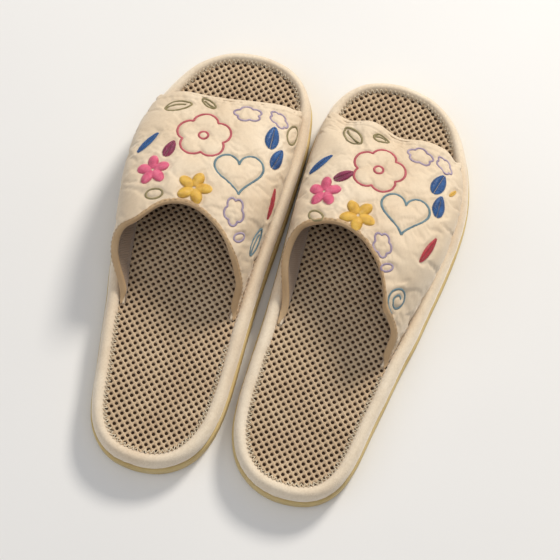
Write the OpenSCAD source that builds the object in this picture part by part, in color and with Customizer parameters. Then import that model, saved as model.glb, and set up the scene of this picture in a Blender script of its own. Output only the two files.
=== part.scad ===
// A pair of open-toe, open-heel spa slippers, left and right.
// Each slipper is a flat moulded sole with a tread, a thin stiff board, a
// contoured foam footbed, a spacer-mesh sock, a cord-filled fabric edge roll
// and a padded three-layer upper with a bound throat and a bound toe edge.
// The upper carries embroidered motifs.
// The pair stands on z = 0 with the toes towards +Y, left slipper on -X.

/* [Size] */
// Length of one slipper, heel to toe
slipper_length = 262; // [230:1:290]
// Width of one slipper at the ball of the foot
slipper_width = 101.5; // [90:0.5:115]
// Distance from the pair's middle to each slipper's own centre line
half_spacing = 44; // [43.5:0.5:80]
// How far the right slipper stands ahead of the left one
stagger = 6; // [0:1:40]

/* [Sole] */
// Thickness of the moulded outsole
outsole_t = 9; // [5:0.5:12]
// Depth of the tread slots
tread_depth = 1.6; // [0.8:0.1:2.5]
// Width of the tread slots
tread_w = 2.4; // [1.5:0.1:4]
// Thickness of the board on the outsole
board_t = 2; // [1.5:0.5:3]

/* [Footbed] */
// Height of the foam at its edge above the board
foam_edge_t = 3.5; // [3:0.1:5]
// How far the left slipper is turned, its heel towards the right one
left_turn = 1.4; // [0:0.1:2]
// Thickness of the mesh sock
sock_t = 2; // [1.5:0.1:2.5]
// Depth of the heel cup
heel_dish = 2.4; // [0:0.1:2.8]
// Depth of the hollow under the ball of the foot
ball_dish = 1.5; // [0:0.1:2.5]

/* [Upper] */
// Height of the upper above the mesh at its throat
throat_rise = 41; // [34:0.5:48]
// Height of the upper above the mesh at its toe edge
toe_rise = 19; // [15:0.5:26]
// Thickness of the outer fabric
shell_t = 1; // [0.8:0.1:1.4]
// Thickness of the padding
padding_t = 1.3; // [1:0.1:2]
// Thickness of the lining
lining_t = 0.6; // [0.5:0.1:0.9]

/* [Hidden] */

kx = slipper_width / 101.5;
ky = slipper_length / 262;
// Sole outline of the right slipper, heel back at the origin, outer side +X,
// 36 points round the edge, point 0 at the heel and point 18 at the toe.
PLAN = [for (p = [
  [0.5, 0], [14.5, 2], [25, 8], [32.4, 18], [36.8, 32], [39.9, 52], [43.2, 72], [46.4, 92],
  [50, 110], [53, 130], [56, 150], [58, 170], [58.5, 187], [56.5, 203], [52, 219],
  [44.5, 235], [34, 248.5], [19, 258.5], [-1, 262], [-19, 258.5], [-31, 250],
  [-38.5, 238], [-41.5, 225], [-43, 210], [-43, 190], [-42.5, 170], [-41.5, 150],
  [-40.5, 130], [-39.8, 110], [-39.6, 90], [-39.8, 70], [-39.6, 50], [-37.5, 32],
  [-32.2, 18], [-23.6, 8], [-12.5, 2]]) [p[0] * kx, p[1] * ky]];
STEP = 0.5;                    // two stations for each outline point
z_board = outsole_t;
z_foam = z_board + board_t;
z_sock = z_foam + foam_edge_t;
z_seam = z_sock + sock_t;      // the mesh's top at its edge
seam_in = 8.9;                 // the seam's distance in from the outline
gap = 0.3;                     // air between layers, so that they never cut

// Where the throat and the toe edge run, as outline stations, at the 13
// control lines across the upper, from the outer base (0) to the inner (12).
THROAT_L = [6.6, 7.0, 8.0, 8.5, 8.85, 9.45, 9.6, 9.3, 8.75, 8.4, 8.0, 7.5, 7.15];
THROAT_R = [6.6, 6.9, 7.5, 7.8, 8.1, 9.1, 9.75, 10.0, 9.9, 9.55, 8.8, 7.8, 7.15];
TOE_EDGE_L = [14.05, 14.05, 14.0, 13.95, 13.92, 13.94, 14.0, 14.08, 14.2, 14.3, 14.4, 14.45, 14.45];
TOE_EDGE_R = [14.25, 14.25, 14.2, 14.15, 14.1, 14.05, 14.03, 14.03, 14.08, 14.15, 14.22, 14.28, 14.28];

function cr(a, b, c, d, s) =
  0.5 * (2 * b + (c - a) * s + (2 * a - 5 * b + 4 * c - d) * s * s + (3 * b - a - 3 * c + d) * s * s * s);
function at(t) = let (m = len(PLAN), q = t + m, i = floor(q), s = q - i)
  cr(PLAN[(i - 1) % m], PLAN[i % m], PLAN[(i + 1) % m], PLAN[(i + 2) % m], s);
function unit(v) = v / max(norm(v), 1e-9);
function inset(t, d) = let (g = unit(at(t + 0.03) - at(t - 0.03))) at(t) + d * [-g[1], g[0]];
function lift(p, z) = [p[0], p[1], z];
function mix(a, b, s) = a + (b - a) * s;
function row(list, w) = let (n = len(list), i = min(floor(w), n - 2), s = w - i,
    a = i > 0 ? list[i - 1] : 2 * list[0] - list[1],
    d = i < n - 2 ? list[i + 2] : 2 * list[n - 1] - list[n - 2])
  cr(a, list[i], list[i + 1], d, s);

// ---- solids from rings ----
// A closed band: rings follow each other round the outline and join up.
module band(rings) {
  n = len(rings); m = len(rings[0]);
  polyhedron(points = [for (r = rings) each r],
    faces = [for (i = [0:n - 1], j = [0:m - 1])
      let (a = i * m + j, b = i * m + (j + 1) % m, c = ((i + 1) % n) * m + (j + 1) % m, d = ((i + 1) % n) * m + j)
      each [[a, b, c], [a, c, d]]]);
}
// A loft: the rings' ends are closed by strips between the ring's two halves.
module loft(rings) {
  n = len(rings); m = len(rings[0]); h = floor(m / 2);
  polyhedron(points = [for (r = rings) each r],
    faces = concat(
      [for (i = [0:n - 2], j = [0:m - 1])
        let (a = i * m + j, b = i * m + (j + 1) % m, c = (i + 1) * m + (j + 1) % m, d = (i + 1) * m + j)
        each [[a, b, c], [a, c, d]]],
      [for (k = [0:h - 2]) each [[k, m - 1 - k, m - 2 - k], [k, m - 2 - k, k + 1]]],
      [for (k = [0:h - 2]) let (o = (n - 1) * m)
        each [[o + k, o + m - 2 - k, o + m - 1 - k], [o + k, o + k + 1, o + m - 2 - k]]]));
}
// A flat slab with the outline's shape, moved in by d.
module slab(d, z0, z1) {
  translate([0, 0, z0]) linear_extrude(height = z1 - z0)
    polygon([for (t = [0:STEP:35.9]) inset(t, d)]);
}

// ---- sole ----
module tread_side(x, y0, y1, len, tilt) {
  for (y = [y0:11:y1]) translate([x * kx, y * ky, tread_depth / 2 - 0.5])
    rotate([0, 0, tilt]) cube([len, tread_w, tread_depth + 1], center = true);
}
module outsole_shape() {
  difference() {
    union() {
      slab(0.5, 0, 1);
      slab(0, 1, outsole_t - 1);
      slab(0.6, outsole_t - 1, outsole_t);
    }
    tread_side(-15, 152, 222, 30, 14);
    tread_side(25, 152, 222, 32, -14);
    tread_side(-18, 26, 82, 24, 14);
    tread_side(18, 26, 82, 24, -14);
  }
}
module board_shape() slab(3.8, z_board, z_foam);

// ---- footbed ----
// How far the footbed is hollowed at height station t, and across it, s = -1 to 1.
function hollow(t) = let (y = t / 18)
  heel_dish * exp(-pow((y - 0.22) / 0.16, 2)) + ball_dish * exp(-pow((y - 0.66) / 0.14, 2));
function dip(t, s) = hollow(t) * pow(max(0, 1 - s * s), 0.8);
function across(t, d, s) = mix(inset(36 - t, d), inset(t, d), (s + 1) / 2);
ACROSS = [-1, -0.82, -0.55, -0.2, 0.2, 0.55, 0.82, 1];
module foam_shape() {
  loft([for (t = [17.5:-STEP:STEP]) concat(
    [lift(inset(36 - t, 3.8), z_sock - 1.1), lift(inset(36 - t, seam_in - 0.6), z_sock - 1.1)],
    [for (s = ACROSS) lift(across(t, seam_in + 0.1, s), z_sock - dip(t, s))],
    [lift(inset(t, seam_in - 0.6), z_sock - 1.1), lift(inset(t, 3.8), z_sock - 1.1)],
    [for (s = [1, 0.85, 0.7, 0.5, 0.25, 0.1, -0.1, -0.25, -0.5, -0.7, -0.85, -1]) lift(across(t, 3.8, s), z_foam)])]);
}
module sock_shape() {
  loft([for (t = [17.5:-STEP:STEP]) concat(
    [for (s = ACROSS) lift(across(t, seam_in + 0.1, s), z_seam - dip(t, s))],
    [for (i = [7:-1:0]) lift(across(t, seam_in + 0.1, ACROSS[i]), z_sock + 0.12 - dip(t, ACROSS[i]))])]);
}

// ---- edge roll ----
// Distance in from the outline, and height above the outsole's top.
COVER = [[2.6, 0], [1.6, 1.6], [1.2, 4.4], [1.8, 7.2], [3.4, 9.5], [5.4, 10.5], [7.3, 9.8], [8.8, 7.7],
  [7.9, 7.5], [7.0, 8.7], [5.5, 9.4], [4.1, 8.6], [2.9, 6.6], [2.3, 4.3], [2.6, 1.9], [3.6, 0]];
module cover_shape() {
  band([for (t = [0:STEP:35.9]) [for (p = COVER) lift(inset(t, p[0]), z_board + p[1])]]);
}
module cord_shape() {
  band([for (t = [0:STEP:35.9]) [for (a = [0:45:315])
    lift(inset(t, 5.6 - 2.2 * cos(a)), z_board + 6.95 + 2.2 * sin(a))]]);
}
module stitches_shape() {
  for (t = [0.25:0.5:35.9]) let (p = inset(t, seam_in + 0.95), g = at(t + 0.05) - at(t - 0.05))
    if (!(t > 6.3 && t < 14.8) && !(t > 21.2 && t < 29.4))
      translate(lift(p, z_seam + 0.35)) rotate([0, 0, atan2(g[1], g[0])]) cube([3.4, 0.9, 0.6], center = true);
}

// ---- upper ----
// rise(t): height of the middle line over the mesh; lat_b and med_b: how far in
// from the outline the outer and the inner side wall stand at their fullest.
function rise(t) = let (s = (t - 9.9) / 4.3)
  throat_rise - (throat_rise - toe_rise) * (s > 0 ? pow(s, 1.25) : 0);
function bulge(side) = side == "left" ? [3.2, 6.2] : [6.2, 3.6];
// The 13 control lines across the upper, from the outer base to the inner one.
function line(i, t, side) = let (out = i <= 6, k = out ? i : 12 - i, q = out ? t : 36 - t,
    b = bulge(side)[out ? 0 : 1], h = rise(t), o = at(t), p = at(36 - t), c = (o + p) / 2, e = out ? o : p)
  k == 0 ? lift(inset(q, seam_in + 0.6), z_seam + 0.35) :
  k == 1 ? lift(inset(q, seam_in - 0.1), z_seam + 4.2) :
  k == 2 ? lift(inset(q, b), z_seam + 0.42 * h) :
  k == 3 ? lift(inset(q, b + 3.5), z_seam + 0.70 * h) :
  k == 4 ? lift(mix(e, c, 0.36), z_seam + 0.89 * h) :
  k == 5 ? lift(mix(e, c, 0.67), z_seam + 0.98 * h) :
  lift(c, z_seam + h);
function skin(w, t, side) = let (i = max(0, min(floor(w), 11)), s = w - i,
    p = [for (k = [-1:2]) (i + k < 0) ? 2 * line(0, t, side) - line(1, t, side) :
         (i + k > 12) ? 2 * line(12, t, side) - line(11, t, side) : line(i + k, t, side)])
  cr(p[0], p[1], p[2], p[3], s);
// Outward direction of the skin.
function away(w, t, side) = let (a = skin(min(w + 0.05, 12), t, side) - skin(max(w - 0.05, 0), t, side),
    b = skin(w, t + 0.05, side) - skin(w, t - 0.05, side)) unit(cross(b, a));
function throat(w, side) = row(side == "left" ? THROAT_L : THROAT_R, w);
function toe_edge(w, side) = row(side == "left" ? TOE_EDGE_L : TOE_EDGE_R, w);
// The layer between depths d0 and d1 under the skin.
module layer(side, d0, d1, inset0 = 0.14, inset1 = 0.09) {
  W = [for (i = [0:24]) i / 2];
  loft([for (v = [0:7]) let (
      pts = [for (w = W) let (t = mix(throat(w, side) + inset0, toe_edge(w, side) - inset1, v / 7))
        [skin(w, t, side), away(w, t, side)]])
    concat([for (p = pts) p[0] - p[1] * d0], [for (i = [24:-1:0]) pts[i][0] - pts[i][1] * d1])]);
}
// A bead that binds an edge of the three layers: e = -1 throat, 1 toe.
BEAD = [[0.4, 0.5], [1.4, 0.45], [2.4, -0.5], [2.7, -1.7], [2.4, -3.0], [1.4, -3.95], [0.4, -4.0], [0.4, -1.7]];
module bead(side, e, k) {
  function edge_t(w) = e < 0 ? throat(w, side) + 0.14 : toe_edge(w, side) - 0.09;
  function edge_p(w) = skin(w, edge_t(w), side);
  ws = [for (i = [0:24]) i / 2];
  rings = [for (w = ws) let (c = edge_p(w), n = away(w, edge_t(w), side),
      g = edge_p(min(w + 0.1, 12)) - edge_p(max(w - 0.1, 0)),
      o = unit(cross(g, n)) * (e < 0 ? -1 : 1))
    [for (p = BEAD) c + o * p[0] * k + n * p[1]]];
  loft(e < 0 ? rings : [for (i = [24:-1:0]) rings[i]]);
}

// ---- motifs ----
// Shape functions: distance from the middle at angle a for a size r.
function petals(a, r, n) = r * (0.84 + 0.16 * cos(n * a));
function leaf(a, r) = r * (0.42 + 0.58 * pow(abs(cos(a)), 2.2));
function heart(a, r) = r * (0.80 - 0.24 * sin(a) + 0.20 * pow(abs(cos(a)), 1.4) - 0.16 * exp(-pow((a - 90) / 24, 2)));
function shape_r(kind, a, r) = kind == "flower" ? petals(a, r, 5) : kind == "cloud" ? petals(a, r, 4) :
  kind == "leaf" ? leaf(a, r) : kind == "heart" ? heart(a, r) : r;
// A place on the upper, h above the skin, x and y millimetres from its (w, t).
function spot(side, w, t, x, y, h) = let (
    sw = norm(skin(w + 0.25, t, side) - skin(w - 0.25, t, side)) * 2,
    st = norm(skin(w, t + 0.25, side) - skin(w, t - 0.25, side)) * 2,
    ww = min(max(w - (side == "left" ? -1 : 1) * x / sw, 0.6), 11.4),
    tt = min(max(t + y / st, throat(ww, side) + 0.25), toe_edge(ww, side) - 0.2))
  skin(ww, tt, side) + away(ww, tt, side) * h;
function turning(side) = side == "left" ? 1 : -1;
// A sewn line round the shape.
module outline_motif(side, w, t, r, kind, turn = 0, n = 20) {
  band([for (i = [0:n - 1]) let (a = turning(side) * 360 * i / n, q = shape_r(kind, a, r))
    [for (p = [[-0.8, 0.6], [-0.8, 1.05], [0.8, 1.05], [0.8, 0.6]])
      spot(side, w, t, (q + p[0]) * cos(a + turn), (q + p[0]) * sin(a + turn), p[1])]]);
}
// A filled patch of satin stitch.
module filled_motif(side, w, t, r, kind, turn = 0, n = 18) {
  rim = [for (i = [0:n - 1]) let (a = turning(side) * 360 * i / n, q = shape_r(kind, a, r)) [q * cos(a + turn), q * sin(a + turn)]];
  up = [for (p = rim) spot(side, w, t, p[0], p[1], 1.15)];
  dn = [for (p = rim) spot(side, w, t, p[0], p[1], 0.6)];
  polyhedron(points = concat(up, dn, [spot(side, w, t, 0, 0, 1.4), spot(side, w, t, 0, 0, 0.6)]),
    faces = [for (i = [0:n - 1]) let (j = (i + 1) % n)
      each [[i, n + i, n + j], [i, n + j, j], [2 * n, i, j], [2 * n + 1, n + j, n + i]]]);
}

module rose_motifs(side) {
  if (side == "left") {
    outline_motif(side, 6.5, 13.0, 11, "flower");
    filled_motif(side, 2.9, 11.9, 7.5, "flower", 20);
    filled_motif(side, 4.0, 12.9, 5, "leaf", 60);
  } else {
    outline_motif(side, 6.2, 12.9, 11, "flower");
    filled_motif(side, 10.3, 11.3, 7.5, "flower", 20);
    filled_motif(side, 9.4, 12.2, 5, "leaf", 60);
  }
}
module blue_motifs(side) {
  if (side == "left") {
    filled_motif(side, 9.2, 12.6, 10, "leaf", 80);
    filled_motif(side, 2.5, 12.9, 9, "leaf", 60);
  } else {
    filled_motif(side, 2.6, 12.2, 10, "leaf", 80);
    filled_motif(side, 10.2, 12.6, 9, "leaf", 60);
  }
}
module gold_motifs(side) {
  if (side == "left") filled_motif(side, 5.2, 10.7, 8.5, "cloud", 10);
  else filled_motif(side, 7.6, 11.0, 8.5, "cloud", 10);
}
module red_motifs(side) {
  if (side == "left") filled_motif(side, 9.6, 10.1, 8, "leaf", 85);
  else filled_motif(side, 2.9, 9.7, 8, "leaf", 80);
}
module lilac_motifs(side) {
  if (side == "left") {
    outline_motif(side, 8.6, 13.6, 6, "cloud", 20, 16);
    outline_motif(side, 7.5, 10.3, 6.5, "cloud", 30, 16);
  } else {
    outline_motif(side, 3.6, 13.3, 6.5, "cloud", 20, 16);
    outline_motif(side, 5.5, 10.3, 6.5, "cloud", 30, 16);
  }
}
module teal_motifs(side) {
  if (side == "left") outline_motif(side, 7.6, 11.8, 10, "heart");
  else outline_motif(side, 4.6, 11.4, 10, "heart");
}
module olive_motifs(side) {
  if (side == "left") {
    outline_motif(side, 4.4, 13.6, 6, "leaf", 10, 16);
    outline_motif(side, 3.3, 10.3, 5.5, "dot", 0, 12);
  } else {
    outline_motif(side, 8.2, 13.5, 6, "leaf", 10, 16);
    outline_motif(side, 10.3, 10.2, 5.5, "dot", 0, 12);
  }
}

// ---- places ----
y0 = -(slipper_length + stagger) / 2;
module put(side) {
  if (side == "right") translate([half_spacing, y0 + stagger, 0]) children();
  else translate([-half_spacing, 100, 0]) rotate([0, 0, left_turn]) translate([0, y0 - 100, 0]) mirror([1, 0, 0]) children();
}

SOLE = [0.86, 0.79, 0.55];
FABRIC = [0.91, 0.84, 0.76];
TAN = [0.72, 0.60, 0.45];

module left_outsole() color(SOLE) put("left") outsole_shape();
module left_board() color([0.80, 0.76, 0.68]) put("left") board_shape();
module left_footbed_foam() color([0.93, 0.90, 0.82]) put("left") foam_shape();
module left_sock_mesh() color([0.74, 0.64, 0.53]) put("left") sock_shape();
module left_edge_cord() color([0.90, 0.88, 0.83]) put("left") cord_shape();
module left_edge_cover() color([0.85, 0.76, 0.62]) put("left") cover_shape();
module left_upper_shell() color(FABRIC) put("left") layer("left", 0, shell_t);
module left_upper_padding() color([0.95, 0.94, 0.90]) put("left") layer("left", shell_t + gap, shell_t + gap + padding_t);
module left_upper_lining() color([0.66, 0.58, 0.50]) put("left")
  layer("left", shell_t + padding_t + 2 * gap, shell_t + padding_t + lining_t + 2 * gap);
module left_toe_binding() color(FABRIC) put("left") bead("left", 1, 0.75);
module left_throat_binding() color(TAN) put("left") bead("left", -1, 1.1);
module left_seam_stitches() color([0.95, 0.90, 0.80]) put("left") stitches_shape();
module left_motif_rose() color([0.80, 0.33, 0.40]) put("left") rose_motifs("left");
module left_motif_blue() color([0.17, 0.35, 0.60]) put("left") blue_motifs("left");
module left_motif_gold() color([0.88, 0.68, 0.25]) put("left") gold_motifs("left");
module left_motif_red() color([0.72, 0.25, 0.27]) put("left") red_motifs("left");
module left_motif_lilac() color([0.66, 0.58, 0.72]) put("left") lilac_motifs("left");
module left_motif_teal() color([0.35, 0.50, 0.56]) put("left") teal_motifs("left");
module left_motif_olive() color([0.55, 0.50, 0.33]) put("left") olive_motifs("left");

module right_outsole() color(SOLE) put("right") outsole_shape();
module right_board() color([0.80, 0.76, 0.68]) put("right") board_shape();
module right_footbed_foam() color([0.93, 0.90, 0.82]) put("right") foam_shape();
module right_sock_mesh() color([0.74, 0.64, 0.53]) put("right") sock_shape();
module right_edge_cord() color([0.90, 0.88, 0.83]) put("right") cord_shape();
module right_edge_cover() color([0.85, 0.76, 0.62]) put("right") cover_shape();
module right_upper_shell() color(FABRIC) put("right") layer("right", 0, shell_t);
module right_upper_padding() color([0.95, 0.94, 0.90]) put("right") layer("right", shell_t + gap, shell_t + gap + padding_t);
module right_upper_lining() color([0.66, 0.58, 0.50]) put("right")
  layer("right", shell_t + padding_t + 2 * gap, shell_t + padding_t + lining_t + 2 * gap);
module right_toe_binding() color(FABRIC) put("right") bead("right", 1, 0.75);
module right_throat_binding() color(TAN) put("right") bead("right", -1, 1.1);
module right_seam_stitches() color([0.95, 0.90, 0.80]) put("right") stitches_shape();
module right_motif_rose() color([0.80, 0.33, 0.40]) put("right") rose_motifs("right");
module right_motif_blue() color([0.17, 0.35, 0.60]) put("right") blue_motifs("right");
module right_motif_gold() color([0.88, 0.68, 0.25]) put("right") gold_motifs("right");
module right_motif_red() color([0.72, 0.25, 0.27]) put("right") red_motifs("right");
module right_motif_lilac() color([0.66, 0.58, 0.72]) put("right") lilac_motifs("right");
module right_motif_teal() color([0.35, 0.50, 0.56]) put("right") teal_motifs("right");
module right_motif_olive() color([0.55, 0.50, 0.33]) put("right") olive_motifs("right");

left_outsole();
left_board();
left_footbed_foam();
left_sock_mesh();
left_edge_cord();
left_edge_cover();
left_upper_shell();
left_upper_padding();
left_upper_lining();
left_toe_binding();
left_throat_binding();
left_seam_stitches();
left_motif_rose();
left_motif_blue();
left_motif_gold();
left_motif_red();
left_motif_lilac();
left_motif_teal();
left_motif_olive();
right_outsole();
right_board();
right_footbed_foam();
right_sock_mesh();
right_edge_cord();
right_edge_cover();
right_upper_shell();
right_upper_padding();
right_upper_lining();
right_toe_binding();
right_throat_binding();
right_seam_stitches();
right_motif_rose();
right_motif_blue();
right_motif_gold();
right_motif_red();
right_motif_lilac();
right_motif_teal();
right_motif_olive();
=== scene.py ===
import math

import bpy
import numpy as np
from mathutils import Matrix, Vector, noise
from mathutils.bvhtree import BVHTree


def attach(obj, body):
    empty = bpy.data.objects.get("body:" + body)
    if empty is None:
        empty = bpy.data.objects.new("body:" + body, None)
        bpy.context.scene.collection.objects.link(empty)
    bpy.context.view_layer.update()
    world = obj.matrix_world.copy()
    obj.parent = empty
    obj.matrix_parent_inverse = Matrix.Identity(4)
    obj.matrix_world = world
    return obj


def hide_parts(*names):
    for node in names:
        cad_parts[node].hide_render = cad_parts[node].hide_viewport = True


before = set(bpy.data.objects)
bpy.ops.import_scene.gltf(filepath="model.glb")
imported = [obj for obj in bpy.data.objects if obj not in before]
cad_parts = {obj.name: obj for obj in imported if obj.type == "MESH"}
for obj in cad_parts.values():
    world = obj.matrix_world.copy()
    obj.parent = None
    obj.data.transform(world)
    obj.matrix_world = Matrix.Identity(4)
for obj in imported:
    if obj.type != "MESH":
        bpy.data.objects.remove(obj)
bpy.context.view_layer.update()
scene = bpy.context.scene

# ---------------------------------------------------------------- design
# The same plan and upper as part.scad, in millimetres, for the right slipper.
PLAN = np.array([
    [0.5, 0], [14.5, 2], [25, 8], [32.4, 18], [36.8, 32], [39.9, 52], [43.2, 72], [46.4, 92],
    [50, 110], [53, 130], [56, 150], [58, 170], [58.5, 187], [56.5, 203], [52, 219],
    [44.5, 235], [34, 248.5], [19, 258.5], [-1, 262], [-19, 258.5], [-31, 250],
    [-38.5, 238], [-41.5, 225], [-43, 210], [-43, 190], [-42.5, 170], [-41.5, 150],
    [-40.5, 130], [-39.8, 110], [-39.6, 90], [-39.8, 70], [-39.6, 50], [-37.5, 32],
    [-32.2, 18], [-23.6, 8], [-12.5, 2]], float)
Z_BOARD, Z_FOAM, Z_SOCK, Z_SEAM = 9.0, 11.0, 14.5, 16.5
SEAM_IN = 8.9
THROAT = {
    "left": np.array([6.6, 7.0, 8.0, 8.5, 8.85, 9.45, 9.6, 9.3, 8.75, 8.4, 8.0, 7.5, 7.15]),
    "right": np.array([6.6, 6.9, 7.5, 7.8, 8.1, 9.1, 9.75, 10.0, 9.9, 9.55, 8.8, 7.8, 7.15])}
TOE_EDGE = {
    "left": np.array([14.05, 14.05, 14.0, 13.95, 13.92, 13.94, 14.0, 14.08, 14.2, 14.3, 14.4, 14.45, 14.45]),
    "right": np.array([14.25, 14.25, 14.2, 14.15, 14.1, 14.05, 14.03, 14.03, 14.08, 14.15, 14.22, 14.28, 14.28])}
LEFT_TURN = math.radians(1.4)
BULGE = {"left": (3.2, 6.2), "right": (6.2, 3.6)}
THROAT_RISE, TOE_RISE = 41.0, 19.0


def cr(a, b, c, d, s):
    return 0.5 * (2 * b + (c - a) * s + (2 * a - 5 * b + 4 * c - d) * s * s + (3 * b - a - 3 * c + d) * s * s * s)


def at(t):
    t = np.mod(np.asarray(t, float), 36.0)
    i = np.floor(t).astype(int)
    s = (t - i)[..., None]
    return cr(PLAN[(i - 1) % 36], PLAN[i % 36], PLAN[(i + 1) % 36], PLAN[(i + 2) % 36], s)


def unit(v):
    return v / np.maximum(np.linalg.norm(v, axis=-1, keepdims=True), 1e-9)


def inset(t, d):
    t = np.asarray(t, float)
    d = np.broadcast_to(np.asarray(d, float), t.shape)
    g = unit(at(t + 0.03) - at(t - 0.03))
    return at(t) + d[..., None] * np.stack([-g[..., 1], g[..., 0]], -1)


def lift(p, z):
    z = np.broadcast_to(np.asarray(z, float), p.shape[:-1])
    return np.concatenate([p, z[..., None]], -1)


def row(vals, w):
    w = np.asarray(w, float)
    n = len(vals)
    e = np.concatenate([[2 * vals[0] - vals[1]], vals, [2 * vals[-1] - vals[-2]]])
    i = np.clip(np.floor(w).astype(int), 0, n - 2)
    s = w - i
    return cr(e[i], e[i + 1], e[i + 2], e[i + 3], s)


def rise(t):
    s = (np.asarray(t, float) - 9.9) / 4.3
    return THROAT_RISE - (THROAT_RISE - TOE_RISE) * np.maximum(s, 0) ** 1.25


def lines(t, side):
    t = np.asarray(t, float)
    q2 = 36 - t
    o = at(t)
    p = at(q2)
    c = (o + p) / 2
    h = rise(t)
    out = []
    for i in range(13):
        outer = i <= 6
        k = i if outer else 12 - i
        q = t if outer else q2
        e = o if outer else p
        b = BULGE[side][0 if outer else 1]
        if k == 0:
            v = lift(inset(q, SEAM_IN + 0.6), Z_SEAM + 0.35)
        elif k == 1:
            v = lift(inset(q, SEAM_IN - 0.1), Z_SEAM + 4.2)
        elif k == 2:
            v = lift(inset(q, b), Z_SEAM + 0.42 * h)
        elif k == 3:
            v = lift(inset(q, b + 3.5), Z_SEAM + 0.70 * h)
        elif k == 4:
            v = lift(e + (c - e) * 0.36, Z_SEAM + 0.89 * h)
        elif k == 5:
            v = lift(e + (c - e) * 0.67, Z_SEAM + 0.98 * h)
        else:
            v = lift(c, Z_SEAM + h)
        out.append(v)
    return np.stack(out)


def skin(w, t, side):
    w, t = np.broadcast_arrays(np.asarray(w, float), np.asarray(t, float))
    L = lines(t, side)
    L = np.concatenate([(2 * L[0] - L[1])[None], L, (2 * L[12] - L[11])[None]])
    i = np.clip(np.floor(w).astype(int), 0, 11)
    s = (w - i)[..., None]
    idx = tuple(np.indices(w.shape))
    return cr(L[(i,) + idx], L[(i + 1,) + idx], L[(i + 2,) + idx], L[(i + 3,) + idx], s)


def away(w, t, side):
    w, t = np.broadcast_arrays(np.asarray(w, float), np.asarray(t, float))
    a = skin(np.minimum(w + 0.04, 12), t, side) - skin(np.maximum(w - 0.04, 0), t, side)
    b = skin(w, t + 0.04, side) - skin(w, t - 0.04, side)
    return unit(np.cross(b, a))


def throat(w, side):
    return row(THROAT[side], w)


def toe_edge(w, side):
    return row(TOE_EDGE[side], w)


def place(P, side):
    """Local millimetres to metres in the shared frame. The left slipper is mirrored."""
    Q = np.array(P, float)
    if side == "right":
        Q[..., 0] += 44
        Q[..., 1] -= 128
    else:
        x, y = -Q[..., 0], Q[..., 1] - 234.0
        c, s = math.cos(LEFT_TURN), math.sin(LEFT_TURN)
        Q[..., 0] = -44 + c * x - s * y
        Q[..., 1] = 100 + s * x + c * y
    return Q / 1000.0


def smoothstep(x, a, b):
    k = np.clip((x - a) / (b - a), 0, 1)
    return k * k * (3 - 2 * k)


def hash01(i, seed=0.0):
    v = np.sin(np.asarray(i, float) * 12.9898 + seed * 78.233) * 43758.5453
    return v - np.floor(v)


def wave_noise(x, y, seed, octaves=3):
    """Smooth, seeded noise in about -1..1 from sums of slanted sines."""
    out = 0.0
    amp = 0.6
    f = 1.0
    for k in range(octaves):
        for m in range(4):
            a = 6.2832 * hash01(seed * 17 + k * 5 + m, 1.3)
            ph = 6.2832 * hash01(seed * 31 + k * 7 + m, 2.7)
            ff = f * (0.75 + 0.6 * hash01(seed * 13 + k * 3 + m, 4.1))
            out = out + amp * 0.5 * np.sin(ff * (x * math.cos(a) + y * math.sin(a)) + ph)
        amp *= 0.5
        f *= 2.05
    return out


# ---------------------------------------------------------------- meshes
def quads_grid(nu, nv, wrap_u=False, base=0):
    """Quads of an nv by nu grid, row-major, u fastest."""
    i, j = np.meshgrid(np.arange(nv - 1), np.arange(nu if wrap_u else nu - 1), indexing="ij")
    a = i * nu + j
    b = i * nu + (j + 1) % nu
    return np.stack([a, b, b + nu, a + nu], -1).reshape(-1, 4) + base


def volume(V, F):
    F = [f for f in F]
    s = 0.0
    A = np.array([f[:3] for f in F])
    s += np.einsum("ij,ij->i", V[A[:, 0]], np.cross(V[A[:, 1]], V[A[:, 2]])).sum()
    Q = np.array([[f[0], f[2], f[3]] for f in F if len(f) == 4])
    if len(Q):
        s += np.einsum("ij,ij->i", V[Q[:, 0]], np.cross(V[Q[:, 1]], V[Q[:, 2]])).sum()
    return s


def make(name, side, V, F, mat, uv=None, smooth=True, closed=True):
    """A mesh object from local millimetres. Closed meshes get outward faces."""
    P = place(V, side)
    F = [tuple(int(k) for k in f) for f in F]
    if closed:
        if volume(P, F) < 0:
            F = [f[::-1] for f in F]
    me = bpy.data.meshes.new(name)
    me.from_pydata(P.tolist(), [], F)
    if uv is not None:
        layer = me.uv_layers.new(name="weave")
        idx = np.zeros(len(me.loops), np.int32)
        me.loops.foreach_get("vertex_index", idx)
        layer.data.foreach_set("uv", np.asarray(uv, np.float32)[idx].ravel())
    me.materials.append(mat)
    if smooth:
        me.polygons.foreach_set("use_smooth", [True] * len(me.polygons))
    me.update()
    ob = bpy.data.objects.new(name, me)
    scene.collection.objects.link(ob)
    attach(ob, side + "_slipper")
    return ob


class Parts:
    """Gathers many small shells into one mesh."""

    def __init__(self):
        self.V, self.F, self.n = [], [], 0

    def add(self, V, F):
        self.V.append(np.asarray(V, float))
        self.F.append(np.asarray(F, int) + self.n)
        self.n += len(V)

    def obj(self, name, side, mat):
        V = np.concatenate(self.V)
        F = [tuple(f) for block in self.F for f in block.tolist()]
        return make(name, side, V, F, mat)


def frames(P, up):
    """Tangent, side and up vectors along a polyline with given surface normals."""
    T = np.empty_like(P)
    T[1:-1] = P[2:] - P[:-2]
    T[0] = P[1] - P[0]
    T[-1] = P[-1] - P[-2]
    T = unit(T)
    U = unit(up - (up * T).sum(-1, keepdims=True) * T)
    S = np.cross(T, U)
    return T, S, U


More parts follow.
